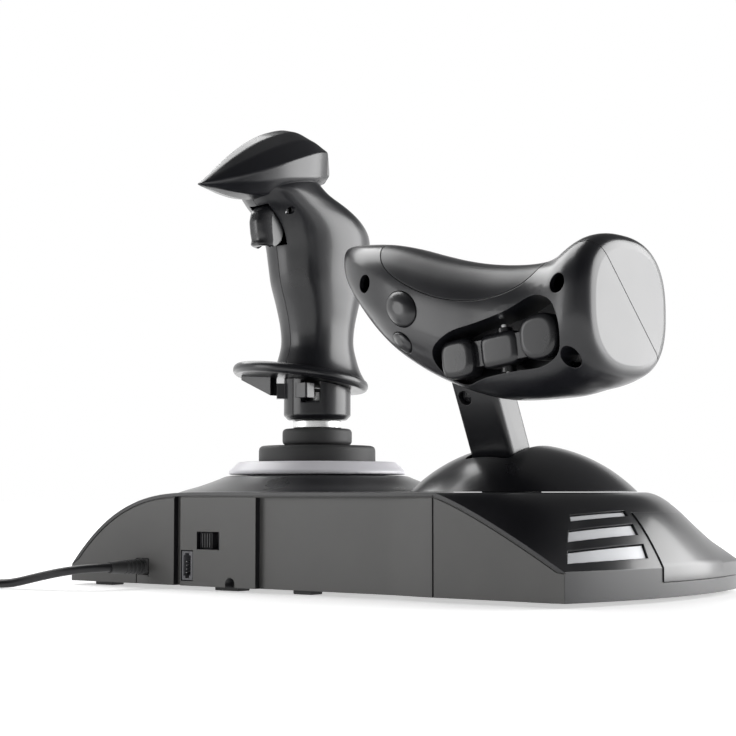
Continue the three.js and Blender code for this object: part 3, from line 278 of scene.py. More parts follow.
def lathe(profile, sides=96):
    """A solid of revolution about z from [radius, z] points that start and end on the axis."""
    rings = profile[1:-1]
    points = [(0, 0, profile[0][1]), (0, 0, profile[-1][1])]
    for radius, z in rings:
        points += [(x, y, z) for x, y in oval_line(radius, radius, sides=sides)]
    faces = []
    for k in range(sides):
        near = (k + 1) % sides
        faces.append((0, 2 + k, 2 + near))
        for ring in range(len(rings) - 1):
            a, b = 2 + ring * sides + k, 2 + ring * sides + near
            faces.append((a, b, b + sides, a + sides))
        last = 2 + (len(rings) - 1) * sides
        faces.append((1, last + k, last + near))
    return solid(points, faces)


def signed_power(value, power):
    return math.copysign(abs(value) ** power, value)


def oval_line(half_width, half_height, power=2, sides=48):
    """[x, y] points round an oval, which gets squarer as the power grows."""
    angles = [math.tau * k / sides for k in range(sides)]
    bent = [[signed_power(f(a), 2 / power) for f in (math.cos, math.sin)] for a in angles]
    return [(half_width * across, half_height * up) for across, up in bent]


def rectangle(x, y):
    """The corners of a rectangle of those half sides."""
    return [(-x, -y), (x, -y), (x, y), (-x, y)]


def prism(outline, low, high):
    """The [x, y] outline between two heights."""
    return loft([[(x, y, z) for x, y in outline] for z in (low, high)])


def block(size, at, turn=(0, 0, 0)):
    x, y, z = (s / 2 for s in size)
    return moved(prism(rectangle(x, y), -z, z), at, turn)


def eased_block(size, at, radius, steps=4):
    """A box with rounded edges and corners."""
    half_x, half_y, half_z = (s / 2 for s in size)
    rings = []
    for end, angles in ((-1, range(steps + 1)), (1, range(steps, -1, -1))):
        for k in angles:
            inset = radius * (1 - math.sin(math.pi / 2 * k / steps))
            z = end * (half_z - radius * (1 - math.cos(math.pi / 2 * k / steps)))
            outline = rectangle(half_x - inset, half_y - inset)
            corners = rounded(outline, max(radius - inset, radius / 8), closed=True)
            rings.append([(x, y, z) for x, y in corners])
    return moved(loft(rings), at)


def rod(radius, length, at, turn=(0, 0, 0), sides=48):
    made = lathe([(0, -length / 2), (radius, -length / 2), (radius, length / 2), (0, length / 2)], sides)
    return moved(made, at, turn)


def moved(made, at=(0, 0, 0), turn=(0, 0, 0)):
    """The solid turned by degrees about x, y and z, then moved."""
    rotation = Euler([math.radians(a) for a in turn]).to_matrix().to_4x4()
    made.data.transform(Matrix.Translation(at) @ rotation)
    return made


def copy_of(made):
    return linked("solid", made.data.copy())


def boolean(target, operation, tools):
    """The target joined with, cut by or kept inside the tools, which are used up."""
    for tool in tools:
        modifier = target.modifiers.new("boolean", "BOOLEAN")
        modifier.operation, modifier.solver, modifier.object = operation, "MANIFOLD", tool
    bpy.context.view_layer.update()
    graph = bpy.context.evaluated_depsgraph_get()
    mesh = bpy.data.meshes.new_from_object(target.evaluated_get(graph))
    target.modifiers.clear()
    target.data = mesh
    for tool in tools:
        bpy.data.objects.remove(tool)
    return target


def cut(target, *tools):
    return boolean(target, "DIFFERENCE", tools)


def join(target, *tools):
    return boolean(target, "UNION", tools)


def common(target, *tools):
    return boolean(target, "INTERSECT", tools)


def rounded(points, radius, closed=False, steps=4):
    """The line of points with its corners rounded off, each by the same count of points."""
    count = len(points)
    line = []
    for i, corner in enumerate(points):
        if not closed and i in (0, count - 1):
            line.append(tuple(corner))
            continue
        here = Vector(corner)
        before, after = Vector(points[i - 1]), Vector(points[(i + 1) % count])
        start = here + (before - here).normalized() * min(radius, (before - here).length * 0.45)
        end = here + (after - here).normalized() * min(radius, (after - here).length * 0.45)
        for k in range(steps + 1):
            t = k / steps
            line.append(tuple(start * (1 - t) ** 2 + here * 2 * t * (1 - t) + end * t * t))
    return line


def refined(rows, steps):
    """Rows of numbers with more rows on a smooth line between them."""
    fine = []
    for i in range(len(rows) - 1):
        before, here = rows[max(i - 1, 0)], rows[i]
        after, beyond = rows[i + 1], rows[min(i + 2, len(rows) - 1)]
        for k in range(steps):
            t = k / steps
            fine.append([catmull(a, b, c, d, t) for a, b, c, d in zip(before, here, after, beyond)])
    return fine + [list(rows[-1])]


def catmull(a, b, c, d, t):
    slope = (c - a) * t + (2 * a - 5 * b + 4 * c - d) * t**2 + (3 * b - a - 3 * c + d) * t**3
    return b + slope / 2


def mix(a, b, t):
    return a + (b - a) * t


def clamp01(t):
    return min(1, max(0, t))


def smooth(t):
    return t * t * (3 - 2 * t)


def show(made, name, slot, body, nodes=(), place=LAYOUT, sharp=35):
    """Names a finished solid, places it, gives it its finish and ties it to the frame."""
    made.name = made.data.name = name
    made.data.transform(Matrix.Scale(MM, 4) @ place)
    made.data.materials.clear()
    made.data.materials.append(MATERIAL[slot])
    for polygon in made.data.polygons:
        polygon.use_smooth = True
    made.data.set_sharp_from_angle(angle=math.radians(sharp))
    normals = made.modifiers.new("normals", "WEIGHTED_NORMAL")
    normals.keep_sharp = True
    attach(made, body)
    if nodes:
        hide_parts(*nodes)
    return made


# ---------------------------------------------------------------- base casing
WINGS = {
    "left": {
        "edge": -80.4, "edge_bow": -47.6, "corner": LEFT_CORNER, "bulge": -11.6,
        "drop": 31.7, "power": 1.2, "middle": 2,
    },
    "right": {
        "edge": 59, "edge_bow": 60, "corner": RIGHT_CORNER, "bulge": 8.5,
        "drop": 36.3, "power": 2.8, "middle": 2.8,
    },
}
# t runs along the base: 0 at the rear edge, 1 at the front corners and NOSE at the front edge.
SHARES = [k / 24 for k in range(25)]
STATIONS = [k / 44 for k in range(45)] + [1.015, 1.03, 1.045, 1.0625, NOSE]


def bow(t):
    """0 at both ends of a side and 1 in its middle."""
    return max(0, 4 * t * (1 - t))


def tuck(t):
    """How far the sides draw in past the front corners."""
    return 16 * clamp01((t - 1) / (NOSE - 1)) ** 2


def fall(t):
    """The share of the height that is left past the front corners."""
    return 1 - 0.5 * clamp01((t - 1) / (NOSE - 1)) ** 2


def side_x(side, t):
    wing = WINGS[side]
    inwards = 1 if side == "left" else -1
    return wing["corner"] + wing["bulge"] * bow(t) + inwards * tuck(t)


def front_y(x):
    return mix(LEFT_FRONT, RIGHT_FRONT, clamp01((x - LEFT_CORNER) / (RIGHT_CORNER - LEFT_CORNER)))


def y_at(x, t):
    return REAR - t * (REAR - front_y(x))


def wing_point(side, share, t):
    """[x, z] on a wing: share 0 is the deck's edge, 1 the side's top edge, and more is down the side."""
    wing = WINGS[side]
    power = mix(wing["power"], wing["middle"], bow(t))
    x = mix(wing["edge"] + wing["edge_bow"] * bow(t), side_x(side, t), min(1, share))
    drop = wing["drop"] * clamp01(share) ** power + 100 * max(0, share - 1)
    return Vector((x, FOOT_HEIGHT + (DECK - FOOT_HEIGHT - drop) * fall(t)))


def wing_skin(side, share, t, depth):
    """The same point moved into the casing by depth, square to the surface."""
    run = (wing_point(side, share + 0.01, t) - wing_point(side, share - 0.01, t)).normalized()
    inward = Vector((-run.y, run.x)) if side == "left" else Vector((run.y, -run.x))
    return wing_point(side, share, t) + inward * depth


def casing_block(inset, rear_inset, front_inset, foot):
    """The casing's outside, or with insets the room inside it."""
    rings = []
    for t in STATIONS:
        left = [wing_skin("left", share, t, inset) for share in SHARES]
        right = [wing_skin("right", share, t, inset) for share in SHARES]
        left[0].y = right[0].y = DECK * fall(t) + FOOT_HEIGHT * (1 - fall(t)) - inset
        section = [Vector((side_x("left", t) + inset, foot)), *reversed(left)]
        section += [*right, Vector((side_x("right", t) - inset, foot))]
        low = [y_at(p.x, NOSE) + front_inset for p in section]
        rings.append([
            (p.x, min(REAR - rear_inset, max(nose, y_at(p.x, t))), p.y) for p, nose in zip(section, low)
        ])
    return loft(rings)


def plan_outline(inset):
    """The casing from above, moved in by inset."""
    left = [(side_x("left", t) + inset, t) for t in STATIONS]
    right = [(side_x("right", t) - inset, t) for t in STATIONS]
    rear = REAR - REAR_WALL if inset > 0 else REAR
    return [(x, min(rear, y_at(x, t) + (inset if y_at(x, t) < -40 else 0))) for x, t in left + right[::-1]]


def wing_patch(side, shares, ends, depths, steps):
    """A patch that follows a wing, between two depths. Its rear and front ends are given for each share."""
    rings = []
    for k in range(steps + 1):
        lines = []
        for depth in depths:
            line = []
            for share in shares:
                y = mix(ends[0](share), ends[1](share), k / steps)
                middle = wing_point(side, share, 0.5).x
                x, z = wing_skin(side, share, (REAR - y) / (REAR - front_y(middle)), depth)
                line.append((x, y, z))
            lines.append(line)
        rings.append(lines[0] + lines[1][::-1])
    return loft(rings)


PLATE = {"from": 0.52, "rear": 41, "front": -42, "foot": 8.4}
STRIPES = [
    {"top": 0.485, "foot": 0.555, "rear": (71.3, 73.9), "front": (43.6, 44.2)},
    {"top": 0.64, "foot": 0.745, "rear": (78.3, 83.6), "front": (45, 46)},
    {"top": 0.82, "foot": 0.93, "rear": (87.4, 93.8), "front": (46, 47.9)},
]
STRIPE_CARRIER = {"top": 0.5, "foot": 0.92, "rear": (69, 69), "front": (58, 58)}  # joins them, out of sight


def wing_plate(side, inset, depths):
    drop = WINGS[side]["drop"]
    foot_share = 1 + (DECK - drop - PLATE["foot"]) / 100 - inset / 100
    slope = [mix(PLATE["from"] + inset / 50, 1, i / 16) for i in range(17)]
    shares = [*slope, foot_share] if foot_share > 1.01 else slope[:-1]
    ends = (lambda share: PLATE["rear"] - inset, lambda share: PLATE["front"] + inset)
    return wing_patch(side, shares, ends, depths, 24)


def stripe(side, bar, inset, depths):
    top, foot = bar["top"], bar["foot"]
    edge = inset / 60
    shares = [mix(top + edge, foot - edge, k / 3) for k in range(4)]

    def end(pair, shift):
        return lambda share: mix(*pair, (share - top) / (foot - top)) + shift

    return wing_patch(side, shares, (end(bar["rear"], -inset), end(bar["front"], inset)), depths, 6)


RECESS = {"from": -53.4, "to": 22, "blend": 27, "depth": 3, "top": 44}
SWITCH = {"x": 52.6, "z": 23.6, "width": 14.8, "height": 8.4}
JACK = {"x": 66.6, "z": 11.6, "width": 7.4, "height": 14}
CABLE_EXIT = {"x": 97.2, "z": 10.5, "slot": 9}
GROOVE = {"x": 73.3, "width": 4.4, "depth": 3}  # upright, beside the jack
NOTCH = {"x": 38.2, "z": 3.6, "radius": 3}  # in the rear wall's foot
HILL = [(0, 30), (88, 30), (85, 36), (80, 42.2), (73, DECK), (60, 50), (50.8, 53.5), (47, 55.2), (0, 55.2)]
HILL_HOLLOW = [(0, 20), (80, 20), (82, 34), (77, 40.4), (71, DECK - 2.6), (59, 47.4), (46, 52.4), (0, 52.4)]


def rear_recess():
    x0, x1, run, depth = RECESS["from"], RECESS["to"], RECESS["blend"], RECESS["depth"]
    outline = [(x1, REAR + 1), (x1, REAR - depth)]
    outline += [(x0 - run * k / 16, REAR - depth * (1 - smooth(k / 16))) for k in range(17)]
    outline.append((x0 - run, REAR + 1))
    return prism(outline, -5, RECESS["top"])


def rear_wall_cuts():
    """The recess, the groove, the seam, and the holes for the switch, the jack, the notch and the lead."""
    deep = 20  # through the wall
    jack_size = (JACK["width"] + 2 * CLEAR, deep, JACK["height"] + 2 * CLEAR)
    return [
        rear_recess(),
        block((GROOVE["width"], 2 * GROOVE["depth"], 45), (GROOVE["x"], REAR, FOOT_HEIGHT + 20)),
        block((0.8, 1.6, 80), (RECESS["from"] - RECESS["blend"], REAR, 5)),
        block((SWITCH["width"], deep, SWITCH["height"]), (SWITCH["x"], REAR, SWITCH["z"])),
        block((21, REAR_WALL, 14), (SWITCH["x"], REAR - WALL - REAR_WALL / 2, SWITCH["z"])),
        block(jack_size, (JACK["x"], REAR, JACK["z"])),
        rod(NOTCH["radius"], deep, (NOTCH["x"], REAR, NOTCH["z"]), TO_PILOT),
        block((2 * NOTCH["radius"], deep, 5), (NOTCH["x"], REAR, NOTCH["z"] - 2.5)),
        block((CABLE_EXIT["slot"], deep, 20), (CABLE_EXIT["x"], REAR, CABLE_EXIT["z"] - 6.2)),
    ]


def base_shell():
    """The upper casing, with its hollow, the hill under the stick and every opening."""
    x, y, _ = STICK
    mound = common(moved(lathe(rounded(HILL, 5), 128), (x, y, 0)), prism(plan_outline(0), 0, 70))
    inside = common(moved(lathe(HILL_HOLLOW), (x, y, 0)), prism(plan_outline(WALL), 0, 70))
    shell = join(casing_block(0, 0, 0, FOOT_HEIGHT), mound)
    shell = cut(shell, casing_block(WALL, REAR_WALL, WALL, FOOT_HEIGHT - 3), inside)
    wings = [wing_plate(side, 0, (-4, 1.5)) for side in WINGS]
    wings += [stripe(side, bar, 0, (-4, WALL + 1)) for side in WINGS for bar in STRIPES]
    holes = [
        rod(BEZEL["inner"] + 2, 40, (x, y, 50), sides=96),
        rod(DOME["hole"], 20, (THROTTLE[0], THROTTLE[1], DECK), sides=96),
    ]
    return cut(shell, *rear_wall_cuts(), *holes, *wings, lip_groove())


LIP = {"thickness": 1.7, "groove": 0.6, "depth": 0.5}  # dark edge of the top over the rear wall


def top_line(depth, steps=24):
    """The casing's top edge in the rear wall's plane, moved down by depth."""
    left = [wing_skin("left", k / steps, 0, depth) for k in range(steps, 0, -1)]
    right = [wing_skin("right", k / steps, 0, depth) for k in range(1, steps + 1)]
    deck = DECK - depth
    return [*left, Vector((WINGS["left"]["edge"], deck)), Vector((WINGS["right"]["edge"], deck)), *right]


def lip_groove():
    high, low = top_line(LIP["thickness"]), top_line(LIP["thickness"] + LIP["groove"])
    for line in (high, low):
        line[0].x, line[-1].x = LEFT_CORNER - 1, RIGHT_CORNER + 1
    near, far = REAR + 1, REAR - LIP["depth"]
    return loft([
        [(a.x, near, a.y), (a.x, far, a.y), (b.x, far, b.y), (b.x, near, b.y)] for a, b in zip(high, low)
    ])


def top_at(x, line):
    """Height of a line of [x, z] points at x."""
    for a, b in zip(line, line[1:]):
        if a.x <= x < b.x:
            return mix(a.y, b.y, (x - a.x) / (b.x - a.x))
    return line[0].y if x < line[0].x else line[-1].y


def rear_sheen_faces(mesh):
    """For each face of the base, whether it faces the rear below the lip, where the lighter wall colour
    paints in the softbox's sheen; the lip over it keeps the black casing colour.
    """
    line = top_line(LIP["thickness"] + LIP["groove"] / 2)
    points = [vertex.co for vertex in mesh.vertices]
    below = [point.z < top_at(point.x, line) for point in points]
    return [face.normal.y > 0.5 and any(below[i] for i in face.vertices) for face in mesh.polygons]


def crease_sides(mesh):
    """Keeps the edge between the wings and the upright sides sharp, however small its angle."""
    upright = {}
    for face in mesh.polygons:
        for key in face.edge_keys:
            upright.setdefault(key, []).append(abs(face.normal.z) < 0.001)
    for edge in mesh.edges:
        if len(set(upright[edge.key])) == 2:
            edge.use_edge_sharp = True


FEET = {
    "foot_rear_right": (132, 89.5, 12.4, 8),
    "foot_rear_middle": (46.5, 89.5, 15.4, 8),
    "foot_rear_centre": (-1, 89.5, 11, 8),
    "foot_rear_left": (-118, 70, 14, 10),
    "foot_front_left": (-112, -30, 14, 10),
    "foot_front_right": (118, -76, 14, 10),
}  # x, y, width and depth
KNOB = {"width": 6.8, "depth": 3.6, "margin": 1.2, "ribs": (-2.4, -0.8, 0.8, 2.4)}


def make_base():
    shell = base_shell()
    walls = rear_sheen_faces(shell.data)
    show(shell, "base_shell", "casing", "base", ["upper_casing"])
    crease_sides(shell.data)
    # rear-facing faces below the lip get the lighter wall colour, a painted sheen; the rest keep the black
    # casing colour
    shell.data.materials.append(MATERIAL["wall"])
    for face, painted_sheen in zip(shell.data.polygons, walls):
        face.material_index = int(painted_sheen)
        face.use_smooth = abs(face.normal.y) < 0.9999
    for side in WINGS:
        plate = wing_plate(side, CLEAR, (-0.5, 1.2))
        show(plate, f"{side}_plate", "casing", "base", [f"{side}_wing_plate"])
        bars = [stripe(side, bar, 0.45, (0.9, WALL + 1.5)) for bar in STRIPES]
        strip = stripe(side, STRIPE_CARRIER, 0, (WALL + CLEAR + 0.1, WALL + 2.4))
        show(join(strip, *bars), f"{side}_bars", "silver", "base", [f"{side}_wing_stripes"])
    for name, (x, y, width, depth) in FEET.items():
        height = FOOT_HEIGHT + 0.7
        pad = eased_block((width, depth, height), (x, y, height / 2), 0.5)
        show(pad, f"{name}_pad", "rubber", "base", [name])
    make_rear_controls()


def make_rear_controls():
    """The slide switch's knob, and the modular jack with its contacts."""
    face = REAR - REAR_WALL
    x = SWITCH["x"] + SWITCH["width"] / 2 - KNOB["width"] / 2 - KNOB["margin"]
    size = (KNOB["width"], KNOB["depth"], SWITCH["height"] - 2 * CLEAR)
    knob = eased_block(size, (x, face + 1.4, SWITCH["z"]), 0.4)
    for offset in KNOB["ribs"]:
        rib = eased_block((0.9, 1.6, SWITCH["height"] - 1.6), (x + offset, face + 3.3, SWITCH["z"]), 0.3)
        knob = join(knob, rib)
    show(knob, "switch_knob", "button", "mode_switch", ["mode_switch_knob"])
    at, z = JACK["x"], JACK["z"]
    socket = eased_block((JACK["width"], 13, JACK["height"]), (at, REAR - 6.7, z), 0.5)
    opening = block((JACK["width"] - 2.6, 10, 9.6), (at, REAR - 4.2, z))
    key_way = block((JACK["width"] - 4.6, 10, JACK["height"] - 2), (at, REAR - 4.2, z))
    show(cut(socket, opening, key_way), "jack_socket", "inner", "base", ["rudder_jack"])
    springs = [rod(0.22, 8, (at + 1.3, REAR - 5, z + dz), (78, 0, 0), 10) for dz in (-2.6, -0.9, 0.9, 2.6)]
    show(join(*springs), "jack_contacts", "steel", "base")


# ---------------------------------------------------------------- throttle
HANDLE = [
    (-157.8, 66, 123, 27, 24),
    (-156.6, 66.2, 123, 31.5, 28.3),
    (-153, 66.6, 123, 34.4, 30.6),
    (-147, 67, 121.8, 34.6, 31.6),
    (-141, 68, 119.8, 32.4, 31),
    (-134, 69, 116.8, 29.6, 29.8),
    (-126, 69.5, 115.2, 28, 29),
    (-115, 70, 114.7, 27.3, 28.9),
    (-102, 70, 115.3, 27, 29.2),
    (-90, 70, 117.4, 27, 28.8),
    (-77, 70, 121, 26.8, 28),
    (-64, 70, 125.6, 26, 27),
    (-50, 69.5, 131.6, 24.6, 25.2),
    (-38, 68.5, 137.4, 22.4, 22),
    (-26, 67, 143.8, 19, 17),
    (-15, 65, 150, 14.4, 11.6),
    (-8, 63, 154.6, 9, 7),
    (-5.5, 62, 157, 4.5, 3.4),
]  # x, then the section's y, z, half depth and half height
HANDLE_POWER = 2.5
HANDLE_FINE = refined(HANDLE, 5)
ROCKER = {"x": -108, "y": 83, "z": 106.5, "turn": 7}
BIG_BUTTON = {"x": -60, "z": 126.4, "width": 19, "height": 14.5, "turn": -32}
SMALL_BUTTON = {"x": -58, "z": 112, "width": 12.4, "height": 8, "turn": -24}
SMILE = [
    (-130, 153), (-127.5, 140), (-122, 133), (-112, 129), (-98, 127.5), (-80, 130), (-62, 137),
    (-47, 146.5), (-38, 158),
]  # x and z of the soft top's seam
SEAM = [(-170, 64, 123, 45), (-150, 64, 122, 45), (-120, 66, 115, 60), (-80, 64, 119, 72), (5, 56, 155, 80)]
HANDLE_SCREWS = [(-34.5, 140), (-143.5, 131), (-147, 101)]
ARM = {"width": 23, "depth": 16, "top": 92, "hub": 9.5, "screw_x": 5.5, "screw_z": 72}


def handle_ring(row, inset):
    x, y, z, depth, height = row
    section = oval_line(depth - inset, height - inset, HANDLE_POWER, 72)
    return [(x, y + ahead, z + up) for ahead, up in section]


def handle_block(rows, inset):
    return loft([handle_ring(row, inset) for row in rows])


def handle_surface(x, z):
    """y of the handle's front at x and z."""
    after = next(i for i, row in enumerate(HANDLE_FINE) if row[0] >= x)
    a, b = HANDLE_FINE[after - 1], HANDLE_FINE[after]
    _, y, middle, depth, height = (mix(p, q, (x - a[0]) / (b[0] - a[0])) for p, q in zip(a, b))
    up = min(0.98, abs(z - middle) / height)
    return y + depth * (1 - up**HANDLE_POWER) ** (1 / HANDLE_POWER)


def handle_shell():
    hollow = [row for row in HANDLE_FINE if -152 <= row[0] <= -26]
    return cut(handle_block(HANDLE_FINE, 0), handle_block(hollow, WALL + 0.2))


def front_half(shift):
    """Everything in front of the seam, which is upright at the point and slanted at the end cap.

    A row of the seam is a point on it and its slant from the desk.
    """
    rings = []
    for x, y, z, degrees in refined(SEAM, 6):
        up = Vector((0, math.cos(math.radians(degrees)), math.sin(math.radians(degrees))))
        ahead = Vector((0, up.z, -up.y))
        corners = [(-90, shift), (90, shift), (90, 120), (-90, 120)]
        rings.append([Vector((x, y, z)) + up * a + ahead * b for a, b in corners])
    return loft(rings)


def top_region(grow):
    """The room above the smile-shaped seam of the soft top."""
    fine = refined(SMILE, 6)
    outline = []
    for i, (x, z) in enumerate(fine):
        slope = 2 * i / (len(fine) - 1) - 1
        outline.append((x + grow * slope, z - grow * (1 - abs(slope) * 0.4)))
    outline += [(SMILE[-1][0] + grow, 175), (SMILE[0][0] - grow, 175)]
    return moved(prism(outline, 0, 120), (0, 130, 0), TO_PILOT)


def oval(button, grow, low, high):
    disc = rod(1, high - low, (0, 0, 0))
    disc.data.transform(Matrix.Diagonal((button["width"] / 2 + grow, button["height"] / 2 + grow, 1, 1)))
    moved(disc, turn=TO_PILOT)
    return moved(disc, (button["x"], (low + high) / 2, button["z"]), (0, button["turn"], 0))


RECESS_LINE = [
    (33, 0), (31, 6), (20, 11), (5, 12), (-10, 14), (-24, 19), (-35, 14), (-38, 3), (-35, -8), (-24, -12),
    (-8, -11), (8, -11), (20, -12.5), (29, -8),
]


def on_rocker(made, ahead=0):
    """The solid moved from its own frame to the rocker's place in the handle."""
    at = (ROCKER["x"], ROCKER["y"] + ahead, ROCKER["z"])
    return moved(made, at, (0, ROCKER["turn"], 0))


def rocker_recess(grow):
    outline = [(x * (1 + grow / 30), z * (1 + grow / 12)) for x, z in rounded(RECESS_LINE, 5, closed=True)]
    return on_rocker(moved(prism(outline, 0, 80), (0, 40, 0), TO_PILOT))


def arm_hole(grow):
    width, depth, top = ARM["width"] + 2 * grow, ARM["depth"] + 2 * grow, ARM["top"]
    return moved(block((width, depth, 60), (0, 0, top - 30 + grow)), THROTTLE, (-LEAN, 0, 0))


def ahead_of(y):
    """The room in front of y."""
    return block((200, 60, 100), (ROCKER["x"], y + 30, ROCKER["z"]))


def front_shell():
    bowl = cut(rocker_recess(WALL), rocker_recess(0))
    floor = common(rocker_recess(WALL), block((90, 2, 50), (ROCKER["x"], ROCKER["y"] - 8, ROCKER["z"])))
    walls = common(join(bowl, floor), ahead_of(ROCKER["y"] - 9), handle_block(HANDLE_FINE, 0))
    shell = common(cut(handle_shell(), rocker_recess(WALL / 2)), front_half(0.15))
    mouth = common(rocker_recess(0), ahead_of(ROCKER["y"] - 7))
    screws = [rod(4.2, 60, (x, 105, z), TO_PILOT) for x, z in HANDLE_SCREWS]
    pin = on_rocker(rod(1.8, 24, (0, 1, 0)))
    holes = [oval(BIG_BUTTON, CLEAR, 60, 130), oval(SMALL_BUTTON, CLEAR, 60, 130)]
    return cut(join(shell, walls), mouth, top_region(CLEAR), arm_hole(CLEAR), *holes, *screws, pin)


def domed_button(button, bulge):
    """An oval button whose crown stands above the handle's surface round it."""
    turn = math.radians(button["turn"])
    rings = []
    arc = [1.5 * k / 8 for k in range(8)]
    crown = [(math.cos(angle), bulge * math.sin(angle)) for angle in arc]
    for share, lift in [(1, None), (1, -0.6), *crown]:
        ring = []
        for u, v in oval_line(share * button["width"] / 2, share * button["height"] / 2):
            x = button["x"] + u * math.cos(turn) + v * math.sin(turn)
            z = button["z"] - u * math.sin(turn) + v * math.cos(turn)
            ring.append((x, 84 if lift is None else handle_surface(x, z) + lift, z))
        rings.append(ring)
    return loft(rings)


def soft_pad(x, z, half_width, half_height, power, low, high):
    """A key top of rounded outline that stands between two depths, along -y in its own frame."""
    rings = []
    crown = [(0, 2.4), (0.25, 1.6), (0.8, 0.8), (1.7, 0.25), (3, 0)]
    for inset, depth in [(0, low)] + [(inset, high - drop) for inset, drop in crown]:
        outline = oval_line(half_width - inset, half_height - inset, power)
        rings.append([(x + across, depth, z + up) for across, up in outline])
    return loft(rings)


def rocker_switch():
    """One rocking key with three tops: a square one by the stick, a low one and a round one."""
    tops = [
        soft_pad(20.3, -0.7, 8.4, 8.4, 3.4, -1.3, 7.7),
        soft_pad(0, 0, 9.6, 7.4, 5, -1.3, 5),
        soft_pad(-22, 1.5, 9.4, 9.6, 2.6, -1.3, 8.2),
    ]
    bar = block((54, 5, 11), (-1, 1.2, 0))
    key = cut(join(bar, rod(3.4, 19, (0, -2.2, 0)), *tops), rod(1.8, 40, (0, -2.2, 0)))
    return on_rocker(key, 3.2)


def arm_body():
    width, depth = ARM["width"] / 2, ARM["depth"] / 2
    bar = prism(rounded(rectangle(width, depth), 2.6, closed=True), 0, ARM["top"])
    hub = rod(ARM["hub"], ARM["width"], (0, 0, 0), TO_RIGHT)
    screw = rod(3.4, 8, (ARM["screw_x"], depth, ARM["screw_z"]), TO_PILOT)
    relieved = block((ARM["width"] - 8, ARM["depth"] - 6, 40), (0, -4, 36))
    return cut(join(bar, hub), screw, rod(4.3, 60, (0, 0, 0), TO_RIGHT), relieved)


def screw_head(radius, at, turn=(0, 0, 0)):
    """A pan head with a cross recess, looking up z before it is turned."""
    shank = radius / 2
    profile = [(0, -6), (shank, -6), (shank, 0), (radius, 0), (radius, 1), (0, 1.8)]
    slots = [block(size, (0, 0, 2.2)) for size in ((radius * 1.2, 0.7, 2.4), (0.7, radius * 1.2, 2.4))]
    return moved(cut(lathe(rounded(profile, 0.4), 32), *slots), at, turn)


def dome():
    """A cap of a ball over the deck, hollow, with the arm's slot."""
    radius, rise, steps = DOME["radius"], DOME["rise"], 24
    sphere = (radius**2 + rise**2) / (2 * rise)

    def arc(reach, lift):
        line = []
        for k in range(steps + 1):
            across = reach * math.cos(k / steps * math.pi / 2) if k < steps else 0
            line.append((across, DECK + lift + math.sqrt(sphere**2 - across**2) - (sphere - rise)))
        return line

    inner = radius - 5
    outer = lathe([(0, DECK + CLEAR), *arc(radius, CLEAR)], 128)
    hollow = lathe([(0, DECK - 5), (inner, DECK - 5), (inner, DECK), *arc(inner, -WALL)], 128)
    half, front, rear = DOME["half_slot"], DOME["slot_front"], DOME["slot_rear"]
    outline = [(-half, front), (half, front), (half, rear), (-half, rear)]
    slot = prism(rounded(outline, 3, closed=True), DECK - 10, DECK + 50)
    return moved(cut(outer, hollow, slot), (THROTTLE[0], THROTTLE[1], 0))


def make_throttle():
    show(dome(), "dome", "casing", "base", ["throttle_dome"])
    at_axle = LAYOUT @ Matrix.Translation(THROTTLE) @ Matrix.Rotation(math.radians(-LEAN), 4, "X")
    show(arm_body(), "arm", "casing", "throttle", ["throttle_arm"], at_axle)
    screw = screw_head(2.9, (ARM["screw_x"], ARM["depth"] / 2 - 3.4, ARM["screw_z"]), AHEAD)
    show(screw, "arm_screw", "button", "throttle", (), at_axle)
    show(front_shell(), "handle_front", "grip", "throttle", ["throttle_front_shell"])
    palm = cut(handle_shell(), front_half(-0.15), top_region(CLEAR), arm_hole(CLEAR))
    show(palm, "handle_palm", "grip", "throttle", ["throttle_palm_shell"])
    top = common(handle_shell(), top_region(0))
    show(top, "handle_top", "soft_inlay", "throttle", ["throttle_soft_top"])
    show(rocker_switch(), "rocker_key", "button", "rocker", ["rudder_rocker"])
    for size, shape, bulge in (("large", BIG_BUTTON, 3), ("small", SMALL_BUTTON, 1.8)):
        button = domed_button(shape, bulge)
        show(button, f"{size}_button", "button", f"throttle_{size}_button", [f"throttle_button_{size}"])
    for i, (x, z) in enumerate(HANDLE_SCREWS):
        show(screw_head(3.4, (x, 78, z), AHEAD), f"handle_screw_{i + 1}", "steel", "throttle")


# ---------------------------------------------------------------- stick and hand rest; z from the gimbal
SHAFT_HOLE = 5.3
REST = {"x": 12, "half_x": 38, "half_y": 34, "thickness": 5.6, "z": 61, "tilt_x": 8.5, "tilt_y": -4}


def bored(made):
    return cut(made, rod(SHAFT_HOLE, 400, (0, 0, 0)))


def lower_skirt():
    """A cap over part of a ball round the pivot. At full tilt its raised side leaves a gap to the bezel."""
    top, foot, rim, radius = 24.8, 16.3, 2, 34.6
    angles = [mix(math.asin(foot / radius), math.asin(rim / radius), k / 10) for k in range(11)]
    ball = [(radius * math.cos(a), radius * math.sin(a)) for a in angles]
    inner = [(r * 0.948, max(rim, z * 0.948)) for r, z in reversed(ball)]
    crown = rounded([(0, top), (30.7, top), (30.7, foot + 0.1)], 3, steps=8)
    return bored(lathe([*crown, (30.7, foot), *ball, *inner, (0, inner[-1][1])]))


def bezel():
    """The ring round the stick, with small notches in its crown."""
    inner, outer, foot, top = BEZEL["inner"], BEZEL["outer"], BEZEL["foot"], BEZEL["top"]
    crown = [(outer, foot + 2), (41.6, top - 0.4), (40.6, top)]
    ring = lathe(rounded([(0, foot + CLEAR), (outer, foot + CLEAR), *crown, (0, top)], 1.2), 128)
    notches = []
    reach, count = inner + BEZEL_NOTCHES["inset"], BEZEL_NOTCHES["count"]
    for k in range(count):
        angle = k * math.tau / count + BEZEL_NOTCHES["first"]
        at = (math.cos(angle) * reach, math.sin(angle) * reach, top)
        notches.append(block(BEZEL_NOTCHES["size"], at, (0, 0, math.degrees(angle))))
    hole = rod(inner, 200, (0, 0, 0), sides=128)
    return moved(cut(ring, hole, *notches), (STICK[0], STICK[1], 0))


